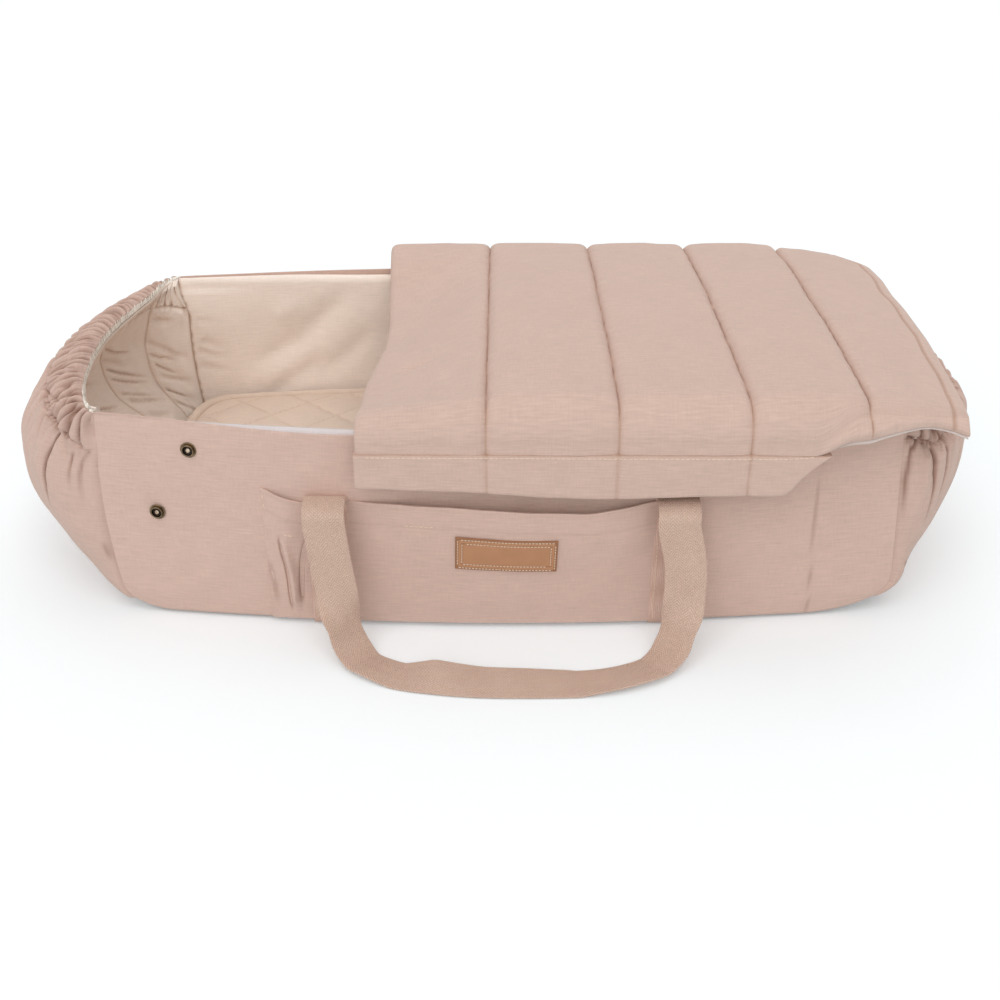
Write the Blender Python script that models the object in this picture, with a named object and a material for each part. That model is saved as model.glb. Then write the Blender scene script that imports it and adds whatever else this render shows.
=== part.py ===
"""Soft fabric carrycot with a quilted cover, two webbing handles and a side pocket.

Frame: metres, +Z up. +X runs from the head end to the foot end, and the pocket side
faces -Y. The origin is on the floor under the middle of the cot's whole length. Places
along X are measured from the middle of the side panels, and each object is then moved
along X by the same small step, because the head end bulges further than the foot end.
"""

import math

import bmesh
import bpy

# Clearance between pieces that touch, and the play left at corners.
TOUCH = 0.0003
CORNER_GAP = 0.0004

# The tub. Its long sides bow outwards, and its ends bulge past the side panels' corners.
RIM_HEIGHT = 0.162
RIM_HALF_WIDTH = 0.180
BASE_HALF_WIDTH = 0.178
RIM_BOW = 0.0275
BASE_BOW = 0.020
RIM_CORNER_X = 0.285
BASE_CORNER_X = 0.279
CORNER_BULGE = 0.006
HEAD_BULGE = 0.104
FOOT_BULGE = 0.087
EDGE_ROUND = 0.004
FOOT_RIM_SINK = 0.0065

# Layers of a side wall, measured inwards from its outer face.
OUTER_CLOTH = 0.0018
BOARD_CLEARANCE = 0.0018
SIDE_BOARD = 0.0025
SIDE_LINING = 0.0054
LINING_ROLL = 0.0040
BOARD_END_SHARE = 0.875

# Layers of an end wall.
GUSSET_CLOTH = 0.0022
ELASTIC_THICK = 0.0016
END_LINING_SEAM = 0.0055
END_LINING_CROWN = 0.0040
END_CHANNELS = 4
HALF_GATHERS = 21
GATHER_DEPTH = 0.0030

# The floor of the tub.
STRAP_THICK = 0.0016
BASE_CLOTH = 0.0020
BASE_BOARD = 0.0030
BASE_LINING = 0.0014
BASE_SEAM_INSET = 0.0045
BOARD_INSET = 0.0090

# The mattress.
MATTRESS_TOP = 0.049
MATTRESS_REACH = 0.290
MATTRESS_CORNER_X = 0.262
MATTRESS_SIDE_PLAY = 0.0030
MATTRESS_END_POWER = 3.6
QUILT_PAD = 0.0065
FOAM_EDGE = 0.005
MATTRESS_CROWN = 0.0025

# The webbing: two straps sewn round the tub and two handle loops.
WEBBING_WIDTH = 0.030
STRAP_X = 0.124
STRAP_TOP = 0.104
FOLD_RISE = 0.0115
FOLD_ANGLE = 148.0
FOLD_SHARE = 0.40
PIVOT_Y = 0.198
PIVOT_PLAY = 0.0013
HANDLE_REACH = 0.054
HANDLE_LEAN = 4.0

# The pocket and its blank patch.
POCKET_HEAD_X = -0.169
POCKET_FOOT_OVERRUN = 0.012
POCKET_CLOTH = 0.0012
POCKET_HEM_Z = 0.1075
POCKET_CORNER_Z = 0.1065
POCKET_DROOP = 0.0035
POCKET_GAPE = 0.0110
POCKET_PLEAT = 0.0040
POCKET_STRAP_CLEAR = 0.003
PATCH_X = 0.005
PATCH_Z = 0.0655
PATCH_WIDTH = 0.073
PATCH_HEIGHT = 0.027
PATCH_THICK = 0.0014

# The press studs near the head end, one upper and one lower on each side.
STUD_UPPER_X = -0.218
STUD_UPPER_Z = 0.139
STUD_LOWER_X = -0.247
STUD_LOWER_Z = 0.088
STUD_RADIUS = 0.0060
STUD_FLANGE = 0.0010
STUD_WALL_RADIUS = 0.0042
STUD_WALL_HEIGHT = 0.0016
STUD_WELL_RADIUS = 0.0030
STUD_PIN_RADIUS = 0.0012
STUD_POST_RADIUS = 0.0018
STUD_BACK_RADIUS = 0.0048
STUD_BACK_THICK = 0.0008
STUD_HOLE_PLAY = 0.0004
STUD_SIDES = 16

# The quilted cover. It is a straight-edged quilt whose long edges hang as skirts.
COVER_HEAD_X = -0.099
COVER_FOOT_X = 0.336
CHANNEL_PITCH = 0.0898
FOLD_SEAM = 2
COVER_OVERHANG = 0.014
COVER_HALF_WIDTH = RIM_HALF_WIDTH + COVER_OVERHANG
COVER_THICK = 0.0200
COVER_EDGE_SHARE = 0.45
COVER_CROWN = 0.0035
COVER_SEAM_DIP = 0.0025
SKIRT_THICK = 0.0080
SHOULDER_RADIUS = 0.016
COVER_DOME = 0.0050
COVER_LINING = 0.0010
COVER_REST_GAP = 0.0009
FOLD_CLEARANCE = 0.0020
HEAD_EDGE_CONCAVITY = 0.006
HEAD_SAG = 0.030
HEAD_SAG_LENGTH = 0.115
FOOT_EDGE_BOW = 0.024
FOOT_END_START_X = 0.250
SKIRT_END_X = 0.212
SKIRT_FADE = 0.050
FOOT_EDGE_ANGLE = 30.0
FOOT_EDGE_HANG = 0.016

# The hem bands of the skirts, and the hook and loop tapes under them.
HEM_TOP_Z = 0.150
HEM_BOTTOM_Z = 0.1205
HEM_FOOT_X = 0.197
HEM_SWEEP = 0.020
TAPE_HEAD_X = -0.060
TAPE_FOOT_X = 0.070
TAPE_MARGIN = 0.004
TAPE_THICK = 0.0025

# Shares of the rim height and of an end's bulge, row by row, up the middle of an end wall.
END_HEIGHT_SHARES = (0.012, 0.185, 0.407, 0.642, 0.827, 0.951, 1.012, 1.000)
HEAD_BULGE_SHARES = (0.23, 0.47, 0.875, 1.00, 0.885, 0.70, 0.49, 0.40)
FOOT_BULGE_SHARES = (0.25, 0.47, 0.81, 0.99, 1.00, 0.89, 0.725, 0.53)
CORNER_HEIGHT_SHARES = (0.012, 0.198, 0.407, 0.642, 0.827, 0.932, 0.985, 1.000)
END_POWER_BASE = 2.45
HEAD_POWER_RIM = 1.6
FOOT_POWER_RIM = 2.0
GATHER_SHARES = (0.0, 0.05, 0.15, 0.35, 0.65, 1.0, 0.9, 0.5)
END_TOP_ROW = 6

# Shares along a channel of the quilt, and how full the channel is there.
CHANNEL_SHARES = (0.0, 0.07, 0.25, 0.5, 0.75, 0.93)
CHANNEL_FULL_SHARES = (0.0, 0.5, 0.92, 1.0, 0.92, 0.5)

# The handle's centre line: shares of the straps' spacing, of its reach and of their height.
HANDLE_ROUTE_SHARES = (
    (-0.500, 0.00, 1.00), (-0.500, 0.00, 0.95), (-0.500, 0.00, 0.90), (-0.475, 0.03, 0.68),
    (-0.452, 0.08, 0.45), (-0.425, 0.18, 0.24), (-0.385, 0.36, 0.09), (-0.325, 0.64, 0.01),
    (-0.230, 0.86, 0.00), (-0.080, 0.98, 0.00), (0.110, 1.00, 0.00), (0.260, 0.95, 0.00),
    (0.370, 0.78, 0.01), (0.445, 0.52, 0.07), (0.490, 0.28, 0.22), (0.520, 0.12, 0.42),
    (0.525, 0.04, 0.65), (0.500, 0.00, 0.90), (0.500, 0.00, 0.95), (0.500, 0.00, 1.00),
)
HANDLE_STATIONS = 40

HALF_SIDE_STATIONS = 8
END_OUTLINE_STATIONS = 8
TAPE_STATIONS = 5
HALF_TURN = math.pi
FRONT, BACK = -1, 1
HEAD, FOOT = -1, 1


def smooth(value):
    """Eases from 0 to 1 as value goes from 0 to 1."""
    held = min(max(value, 0.0), 1.0)
    return held * held * (3.0 - 2.0 * held)


def mix(first, second, share):
    return first + (second - first) * share


def spread(first, second, count):
    """Evenly spaced values from first to second."""
    return [mix(first, second, k / (count - 1)) for k in range(count)]


def material(name, colour, roughness, metallic=0.0):
    made = bpy.data.materials.new(name)
    made.use_nodes = True
    shader = made.node_tree.nodes["Principled BSDF"]
    shader.inputs["Base Color"].default_value = (*colour, 1.0)
    shader.inputs["Roughness"].default_value = roughness
    shader.inputs["Metallic"].default_value = metallic
    return made


def furthest(end):
    """How far out an end gusset reaches, gathers and all."""
    puffs = [GATHER_DEPTH * share for share in GATHER_SHARES]
    return max(abs(end_point(0.0, row, -puff, end)[0]) for row, puff in enumerate(puffs))


def frame_shift():
    """The step along X that puts the origin under the middle of the whole length."""
    return (furthest(HEAD) - furthest(FOOT)) / 2


def add_object(name, mesh, finish):
    made = bpy.data.objects.new(name, mesh)
    made.location.x = frame_shift()
    made.data.materials.append(finish)
    bpy.context.scene.collection.objects.link(made)
    return made


def loft(name, loops, finish, flat_caps=False):
    """Closes a solid round a row of loops with equally many points.

    A loop is an outer chain and the inner chain back again. Its cap is a strip between
    the two chains, or one flat face where flat_caps is set. The diagonals of both chains
    run the same way, so that layers which lie against each other bend alike.
    """
    shape = bmesh.new()
    rings = [[shape.verts.new(point) for point in loop] for loop in loops]
    count = len(rings[0])
    for first, second in zip(rings, rings[1:]):
        for k in range(count):
            after = (k + 1) % count
            if k < count // 2:
                shape.faces.new((first[k], first[after], second[after]))
                shape.faces.new((first[k], second[after], second[k]))
            else:
                shape.faces.new((first[k], first[after], second[k]))
                shape.faces.new((first[after], second[after], second[k]))
    for ring in (rings[0], rings[-1]):
        if flat_caps:
            shape.faces.new(ring)
            continue
        for k in range(count // 2 - 1):
            shape.faces.new((ring[k], ring[k + 1], ring[count - 2 - k], ring[count - 1 - k]))
    bmesh.ops.recalc_face_normals(shape, faces=shape.faces)
    mesh = bpy.data.meshes.new(name)
    shape.to_mesh(mesh)
    shape.free()
    mesh.shade_smooth()
    mesh.set_sharp_from_angle(angle=math.radians(40.0))
    return add_object(name, mesh, finish)


def half_width(height):
    """Half the width of the tub at the middle of its length."""
    return mix(BASE_HALF_WIDTH, RIM_HALF_WIDTH, height / RIM_HEIGHT)


def side_bow(height):
    """How much further in a side wall is at its corners than at its middle."""
    return mix(BASE_BOW, RIM_BOW, height / RIM_HEIGHT)


def corner_x(height):
    """How far along the tub its side panels meet its end gussets."""
    share = height / RIM_HEIGHT
    return mix(BASE_CORNER_X, RIM_CORNER_X, share) + CORNER_BULGE * math.sin(HALF_TURN * share)


def wall_heights(low, high):
    """Heights from low to high, by way of the rows that all walls share."""
    rows = [RIM_HEIGHT * share for share in CORNER_HEIGHT_SHARES[1:END_TOP_ROW]]
    return [low] + [row for row in rows if low < row < high] + [high]


def side_shares(limit=1.0):
    """Shares of half the tub's length at which its side walls bend, out to limit."""
    last = round(limit * HALF_SIDE_STATIONS)
    return [k / HALF_SIDE_STATIONS for k in range(-last, last + 1)]


def side_point(share, height, depth, side):
    """A point of a side wall: share of its half length, and depth in from its outer face."""
    reach = corner_x(height) - CORNER_GAP / 2
    y = half_width(height) - side_bow(height) * share * share - depth
    return (share * reach, side * y, height)


def side_face_y(x, height):
    """How far out the outer face of a side wall is at x, along the straight runs of the wall."""
    place = x / (corner_x(height) - CORNER_GAP / 2) * HALF_SIDE_STATIONS
    low = math.floor(place)
    near = side_point(low / HALF_SIDE_STATIONS, height, 0.0, BACK)[1]
    far = side_point((low + 1) / HALF_SIDE_STATIONS, height, 0.0, BACK)[1]
    return mix(near, far, place - low)


def edge_centre_z():
    """The height at which the rounding of the tub's lower edge is centred."""
    return STRAP_THICK + TOUCH + EDGE_ROUND


def edge_points(share, depth, side):
    """Points round the lower edge of a side panel, from under it up to its upright face."""
    y = side_point(share, edge_centre_z(), EDGE_ROUND, side)[1]
    radius = EDGE_ROUND - depth
    found = []
    for angle in (HALF_TURN / 2, HALF_TURN / 3, HALF_TURN / 6):
        z = edge_centre_z() - radius * math.sin(angle)
        x = side_point(share, z, depth, side)[0]
        found.append((x, y + side * radius * math.cos(angle), z))
    return found


def end_rows(row, end):
    """Up the middle of an end wall: reach, height, outward normal and the corner's height."""
    last = len(END_HEIGHT_SHARES) - 1
    shares = HEAD_BULGE_SHARES if end == HEAD else FOOT_BULGE_SHARES

    def at(k):
        reach = BASE_CORNER_X + (HEAD_BULGE if end == HEAD else FOOT_BULGE) * shares[k]
        return (reach, RIM_HEIGHT * END_HEIGHT_SHARES[k], RIM_HEIGHT * CORNER_HEIGHT_SHARES[k])

    def facing(k):
        before, after = at(max(k - 1, 0)), at(min(k + 1, last))
        along = (after[0] - before[0], after[1] - before[1])
        length = math.hypot(*along)
        return (along[1] / length, -along[0] / length)

    low = min(int(row), last - 1)
    share = row - low
    reach, height, corner = (mix(a, b, share) for a, b in zip(at(low), at(low + 1)))
    out_x, out_z = (mix(a, b, share) for a, b in zip(facing(low), facing(low + 1)))
    return reach, height, out_x, out_z, corner


def end_point(angle, row, depth, end):
    """A point of an end wall, from its front corner at -90 degrees to its back one at 90."""
    reach, height, out_x, out_z, corner_height = end_rows(row, end)
    lower_inset = max(0.0, edge_centre_z() - corner_height)
    side = half_width(corner_height) - side_bow(corner_height) - lower_inset - depth
    near = corner_x(corner_height) + CORNER_GAP / 2
    rim_power = HEAD_POWER_RIM if end == HEAD else FOOT_POWER_RIM
    power = mix(END_POWER_BASE, rim_power, row / (len(END_HEIGHT_SHARES) - 1))
    across = math.copysign(abs(math.sin(angle)) ** (2 / power), angle)
    bulge = abs(math.cos(angle)) ** (2 / power)
    x = mix(near, reach - depth * out_x, bulge)
    z = mix(corner_height, height - depth * out_z, bulge)
    if end == FOOT:
        z -= FOOT_RIM_SINK * bulge * smooth((z / RIM_HEIGHT - 0.75) / 0.2)
    return (end * x, side * across, z)


def outline(half, bow, corner, reaches, power, height):
    """A closed plan outline with bowed long sides and rounded ends."""
    points = []
    for turn, reach in zip((FRONT, BACK), reaches):
        for share in side_shares():
            y = half - bow * share * share
            points.append((-turn * share * corner, turn * y, height))
        for k in range(1, END_OUTLINE_STATIONS - 1):
            angle = HALF_TURN * k / (END_OUTLINE_STATIONS - 1)
            across = math.copysign(abs(math.cos(angle)) ** (2 / power), math.cos(angle))
            bulge = math.sin(angle) ** (2 / power)
            x = mix(corner, reach, bulge)
            points.append((-turn * x, turn * (half - bow) * across, height))
    return points


def build_side(side, name, cloth, board, lining):
    """One long side: outer panel, stiffening board and lining."""
    panel_loops = []
    heights = wall_heights(edge_centre_z(), RIM_HEIGHT)
    for share in side_shares():
        outer = edge_points(share, 0.0, side)
        outer += [side_point(share, z, 0.0, side) for z in heights]
        inner = edge_points(share, OUTER_CLOTH, side)
        inner += [side_point(share, z, OUTER_CLOTH, side) for z in heights]
        panel_loops.append(outer + inner[::-1])
    panel = loft(f"{name}_outer_panel", panel_loops, cloth)

    board_face = OUTER_CLOTH + BOARD_CLEARANCE
    board_loops = []
    heights = wall_heights(floor_top() + TOUCH, RIM_HEIGHT - LINING_ROLL - TOUCH)
    for share in side_shares(BOARD_END_SHARE):
        outer = [side_point(share, z, board_face, side) for z in heights]
        inner = [side_point(share, z, board_face + SIDE_BOARD, side) for z in heights]
        board_loops.append(outer + inner[::-1])
    loft(f"{name}_side_board", board_loops, board)

    lining_face = board_face + SIDE_BOARD + TOUCH
    inside = lining_face + SIDE_LINING
    heights = wall_heights(floor_top() + TOUCH, RIM_HEIGHT - LINING_ROLL)
    outer_pairs = [(lining_face, z) for z in heights]
    outer_pairs += [(OUTER_CLOTH + TOUCH, heights[-1]), (OUTER_CLOTH + TOUCH, RIM_HEIGHT)]
    inner_pairs = [(inside, z) for z in heights]
    inner_pairs[0] = (inside - LINING_ROLL / 2, heights[0])
    inner_pairs += [
        (inside - LINING_ROLL / 3, mix(heights[-1], RIM_HEIGHT, 0.6)),
        (mix(OUTER_CLOTH, inside, 0.6), RIM_HEIGHT + TOUCH),
    ]
    lining_loops = []
    for share in side_shares():
        outer = [side_point(share, z, depth, side) for depth, z in outer_pairs]
        inner = [side_point(share, z, depth, side) for depth, z in inner_pairs]
        lining_loops.append(outer + inner[::-1])
    loft(f"{name}_lining", lining_loops, lining)
    return panel


def build_end(end, name, cloth, elastic, lining):
    """One end: gathered outer gusset, rim elastic and channelled lining."""
    rows = list(range(len(END_HEIGHT_SHARES)))
    gusset_loops = []
    stations = HALF_GATHERS * 2
    for k in range(stations + 1):
        angle = HALF_TURN * (k / stations - 0.5)
        wave = math.sin(HALF_TURN * HALF_GATHERS * k / stations)
        puff = [GATHER_DEPTH * GATHER_SHARES[row] * wave for row in rows]
        outer = [end_point(angle, row, -puff[row], end) for row in rows]
        inner = [end_point(angle, row, GUSSET_CLOTH - puff[row], end) for row in rows]
        gusset_loops.append(outer + inner[::-1])
    loft(f"{name}_outer_gusset", gusset_loops, cloth)

    stations = END_CHANNELS * 4
    angles = [HALF_TURN * (k / stations - 0.5) for k in range(stations + 1)]
    elastic_face = GUSSET_CLOTH + GATHER_DEPTH + 2 * TOUCH
    elastic_rows = rows[END_TOP_ROW:]
    elastic_loops = []
    for angle in angles[1:-1]:
        outer = [end_point(angle, row, elastic_face, end) for row in elastic_rows]
        back = elastic_face + ELASTIC_THICK
        inner = [end_point(angle, row, back, end) for row in elastic_rows]
        elastic_loops.append(outer + inner[::-1])
    loft(f"{name}_rim_elastic", elastic_loops, elastic)

    lining_face = elastic_face + ELASTIC_THICK + TOUCH
    first, second = end_rows(0, end)[1], end_rows(1, end)[1]
    lining_rows = [(floor_top() + TOUCH - first) / (second - first)] + rows[1:]
    lining_loops = []
    for k, angle in enumerate(angles):
        channel = k / stations * END_CHANNELS % 1.0
        inside = lining_face + END_LINING_SEAM + END_LINING_CROWN * math.sin(HALF_TURN * channel) ** 0.6
        outer = [end_point(angle, row, lining_face, end) for row in lining_rows]
        inner = [end_point(angle, row, inside, end) for row in lining_rows]
        lining_loops.append(outer + inner[::-1])
    loft(f"{name}_lining", lining_loops, lining)


def floor_top():
    """The top of the cloth that lines the tub's floor."""
    return STRAP_THICK + BASE_CLOTH + BASE_BOARD + BASE_LINING + 3 * TOUCH


def plate(name, low, high, inset, end_inset, finish):
    """A flat layer of the tub's floor."""
    level = edge_centre_z()
    corner = corner_x(level) - CORNER_GAP / 2
    reaches = [end_rows(0, end)[0] - end_inset for end in (FOOT, HEAD)]
    loops = [
        outline(half_width(level) - inset, side_bow(level), corner, reaches, END_POWER_BASE, z)
        for z in (low, high)
    ]
    return loft(name, loops, finish, flat_caps=True)


def build_floor(cloth, board, lining):
    """The outer base panel, the board on it and the cloth that lines the floor."""
    inset = EDGE_ROUND + GUSSET_CLOTH + 2 * TOUCH
    low = STRAP_THICK + TOUCH
    plate("base_outer_panel", low, low + BASE_CLOTH, inset, BASE_SEAM_INSET, cloth)
    low += BASE_CLOTH + TOUCH
    ends = BASE_SEAM_INSET + BOARD_INSET
    plate("base_board", low, low + BASE_BOARD, inset, ends, board)
    low += BASE_BOARD + TOUCH
    plate("base_lining", low, low + BASE_LINING, inset, ends, lining)


def build_mattress(foam, quilting):
    """The foam core and the quilted pad on top of it."""
    wall = OUTER_CLOTH + BOARD_CLEARANCE + SIDE_BOARD + TOUCH + SIDE_LINING
    low = floor_top() + TOUCH
    half = half_width(low) - wall - MATTRESS_SIDE_PLAY
    bow = side_bow(MATTRESS_TOP)
    foam_top = MATTRESS_TOP - QUILT_PAD - TOUCH

    def ring(inset, height):
        corner = MATTRESS_CORNER_X - inset / 2
        reaches = [MATTRESS_REACH - inset] * 2
        return outline(half - inset, bow, corner, reaches, MATTRESS_END_POWER, height)

    foam_rings = [
        ring(FOAM_EDGE, low),
        ring(0.0, low + FOAM_EDGE),
        ring(FOAM_EDGE / 2, mix(low, foam_top, 0.5)),
        ring(0.0, foam_top - FOAM_EDGE / 2),
        ring(FOAM_EDGE / 2, foam_top),
    ]
    loft("mattress_foam", foam_rings, foam, flat_caps=True)
    pad_low = foam_top + TOUCH
    pad_rings = [
        ring(FOAM_EDGE / 2, pad_low),
        ring(0.0, mix(pad_low, MATTRESS_TOP, 0.45)),
        ring(FOAM_EDGE / 2, MATTRESS_TOP),
        ring(FOAM_EDGE * 2, MATTRESS_TOP - MATTRESS_CROWN / 2),
        ring(FOAM_EDGE * 8, MATTRESS_TOP + MATTRESS_CROWN / 2),
        ring(FOAM_EDGE * 18, MATTRESS_TOP + MATTRESS_CROWN),
    ]
    loft("mattress_quilted_pad", pad_rings, quilting, flat_caps=True)


def strap_half(x, side):
    """The sewn strap's middle line on one side at x, from its fold down to the floor."""
    stand_off = TOUCH + (POCKET_CLOTH + TOUCH if side == FRONT else 0.0)
    middle = stand_off + STRAP_THICK / 2
    sewn_y = side_face_y(x, STRAP_TOP) + middle
    angle = math.radians(FOLD_ANGLE)
    end = (PIVOT_Y + PIVOT_PLAY * math.cos(angle), STRAP_TOP + PIVOT_PLAY * math.sin(angle))
    pull = FOLD_SHARE * (PIVOT_Y - sewn_y)
    guides = (
        end,
        (end[0] + pull * math.cos(angle), end[1] + pull * math.sin(angle)),
        (sewn_y, STRAP_TOP + FOLD_RISE),
        (sewn_y, STRAP_TOP),
    )
    points = []
    for t in spread(0.0, 1.0, 8):
        weights = ((1 - t) ** 3, 3 * t * (1 - t) ** 2, 3 * t * t * (1 - t), t ** 3)
        points.append(tuple(sum(w * g[axis] for w, g in zip(weights, guides)) for axis in (0, 1)))
    centre = edge_centre_z()
    for z in spread(STRAP_TOP, centre, 4)[1:]:
        points.append((side_face_y(x, z) + middle, z))
    inner_y = side_face_y(x, centre) - EDGE_ROUND
    for angle in (HALF_TURN / 6, HALF_TURN / 3, HALF_TURN / 2):
        y = inner_y + (EDGE_ROUND + middle) * math.cos(angle)
        points.append((y, centre - (centre - STRAP_THICK / 2) * math.sin(angle)))
    return points


def strap_path(x):
    """The whole middle line of a sewn strap in (y, z), from its front fold to its back one."""
    front = [(-y, z) for y, z in strap_half(x, FRONT)]
    return front + strap_half(x, BACK)[::-1]


def path_normals(path):
    """Unit normals of an open path in a plane, to its left."""
    found = []
    for k in range(len(path)):
        before = path[max(k - 1, 0)]
        after = path[min(k + 1, len(path) - 1)]
        along = (after[0] - before[0], after[1] - before[1])
        length = math.hypot(*along)
        found.append((-along[1] / length, along[0] / length))
    return found


def build_strap(name, x, webbing):
    """A strap sewn up both sides and under the floor, with a fold at each upper end."""
    edges = []
    for edge_x in (x - WEBBING_WIDTH / 2, x + WEBBING_WIDTH / 2):
        path = strap_path(edge_x)
        faces = []
        for half in (STRAP_THICK / 2, -STRAP_THICK / 2):
            faces.append(
                [(edge_x, y + ny * half, z + nz * half)
                 for (y, z), (ny, nz) in zip(path, path_normals(path))]
            )
        edges.append(faces)
    (low_inner, low_outer), (high_inner, high_outer) = edges
    loops = [list(corners) for corners in zip(low_outer, high_outer, high_inner, low_inner)]
    return loft(name, loops, webbing)


def handle_route(side):
    """The handle's centre line, smoothed through its route."""
    knots = [
        (2 * STRAP_X * x, side * (PIVOT_Y + HANDLE_REACH * y), STRAP_TOP * z)
        for x, y, z in HANDLE_ROUTE_SHARES
    ]
    points = []
    for station in spread(0.0, len(knots) - 1.0, HANDLE_STATIONS):
        k = min(int(station), len(knots) - 2)
        t = station - k
        around = [knots[min(max(k + step, 0), len(knots) - 1)] for step in (-1, 0, 1, 2)]
        weights = (
            (-t + 2 * t * t - t ** 3) / 2,
            (2 - 5 * t * t + 3 * t ** 3) / 2,
            (t + 4 * t * t - 3 * t ** 3) / 2,
            (t ** 3 - t * t) / 2,
        )
        points.append(tuple(sum(w * p[axis] for w, p in zip(weights, around)) for axis in range(3)))
    return points


def unit(vector):
    length = math.sqrt(sum(part * part for part in vector))
    return tuple(part / length for part in vector)


def cross(a, b):
    return (a[1] * b[2] - a[2] * b[1], a[2] * b[0] - a[0] * b[2], a[0] * b[1] - a[1] * b[0])


def build_handle(name, side, webbing):
    """A webbing loop that hangs from its two folds and leans back where it lies on the floor."""
    points = handle_route(side)
    last = len(points) - 1
    lean = math.radians(HANDLE_LEAN)
    half_wide, half_thick = WEBBING_WIDTH / 2, STRAP_THICK / 2
    loops = []
    for k, point in enumerate(points):
        before, after = points[max(k - 1, 0)], points[min(k + 1, last)]
        along = unit(tuple(b - a for a, b in zip(before, after)))
        lying_share = 1.0 - smooth(2.0 * point[2] / STRAP_TOP)
        lying = (0.0, side * math.cos(lean), -math.sin(lean))
        hanging = (math.copysign(1.0, point[0]), 0.0, 0.0)
        wanted = tuple(mix(h, l, lying_share) for h, l in zip(hanging, lying))
        dot = sum(a * w for a, w in zip(along, wanted))
        edge = unit(tuple(w - dot * a for a, w in zip(along, wanted)))
        face = cross(along, edge)
        corners = []
        for wide, thick in ((1, 1), (-1, 1), (-1, -1), (1, -1)):
            corners.append(
                tuple(
                    p + wide * half_wide * e + thick * half_thick * f
                    for p, e, f in zip(point, edge, face)
                )
            )
        lift = max(0.0, TOUCH - min(z for _, _, z in corners))
        loops.append([(x, y, z + lift) for x, y, z in corners])
    return loft(name, loops, webbing)


def pocket_gape(x):
    """How far the pocket's mouth stands off, as two bulges beside the strap sewn over it."""
    strap = WEBBING_WIDTH / 2 + POCKET_STRAP_CLEAR
    spans = (
        (POCKET_HEAD_X, -STRAP_X - strap, POCKET_PLEAT),
        (-STRAP_X + strap, STRAP_X - strap, POCKET_GAPE),
    )
    for first, second, gape in spans:
        if first < x < second:
            share = (x - first) / (second - first)
            return gape * math.sin(HALF_TURN * share) ** 1.3
    return 0.0


def pocket_top(x):
    """The height of the pocket's mouth."""
    near = -STRAP_X - WEBBING_WIDTH / 2
    if x < near:
        return mix(POCKET_CORNER_Z, POCKET_HEM_Z, smooth((x - POCKET_HEAD_X) / (near - POCKET_HEAD_X)))
    share = min(max((x + STRAP_X) / (2 * STRAP_X), 0.0), 1.0)
    return POCKET_HEM_Z - POCKET_DROOP * math.sin(HALF_TURN * share)


def pocket_point(x, share, stand_off):
    """A point off the pocket's inner face, share of the way up it."""
    height = mix(edge_centre_z(), pocket_top(x), share)
    out = side_face_y(x, height) + TOUCH + pocket_gape(x) * smooth(share * 1.1) + stand_off
    return (x, -out, height)


def build_pocket(cloth, leather):
    """The pocket on the front panel, and the blank patch sewn to it."""
    strap = WEBBING_WIDTH / 2 + POCKET_STRAP_CLEAR
    main = spread(-STRAP_X + strap, STRAP_X - strap, 13)
    foot_x = STRAP_X + POCKET_FOOT_OVERRUN
    columns = spread(POCKET_HEAD_X, -STRAP_X - strap, 6) + main + [foot_x]
    shares = (0.0, 0.25, 0.5, 0.75, 1.0)
    loops = []
    for x in columns:
        outer = [pocket_point(x, share, POCKET_CLOTH) for share in shares]
        inner = [pocket_point(x, share, 0.0) for share in reversed(shares)]
        loops.append(outer + inner)
    loft("front_pocket", loops, cloth)

    columns = spread(PATCH_X - PATCH_WIDTH / 2, PATCH_X + PATCH_WIDTH / 2, 5)
    low = edge_centre_z()
    loops = []
    for x in columns:
        rise = pocket_top(x) - low
        ends = [(PATCH_Z + turn * PATCH_HEIGHT / 2 - low) / rise for turn in (-1.0, 0.0, 1.0)]
        outer = [pocket_point(x, share, POCKET_CLOTH + 2 * TOUCH + PATCH_THICK) for share in ends]
        inner = [pocket_point(x, share, POCKET_CLOTH + 2 * TOUCH) for share in reversed(ends)]
        loops.append(outer + inner)
    loft("leather_patch", loops, leather)


def lathe(name, profile, place, axis, finish):
    """Turns a profile of (radius, distance along axis) into a solid at place."""
    side = cross(axis, (0.0, 0.0, 1.0))
    side = unit(side)
    up = cross(side, axis)
    loops = []
    for radius, distance in profile:
        loop = []
        for k in range(STUD_SIDES):
            angle = 2 * HALF_TURN * k / STUD_SIDES
            turn_side, turn_up = radius * math.cos(angle), radius * math.sin(angle)
            loop.append(
                tuple(
                    p + distance * a + turn_side * s + turn_up * u
                    for p, a, s, u in zip(place, axis, side, up)
                )
            )
        loops.append(loop)
    return loft(name, loops, finish, flat_caps=True)


def side_normal(x, height, side):
    """The outward normal of the straight run of a side wall at x."""
    step = corner_x(height) / HALF_SIDE_STATIONS
    low = math.floor(x / step) * step
    rise = side_face_y(low + step, height) - side_face_y(low, height)
    lean = (side_face_y(x, RIM_HEIGHT) - side_face_y(x, edge_centre_z())) / (RIM_HEIGHT - edge_centre_z())
    return unit((-rise / step, side, -lean))


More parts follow.
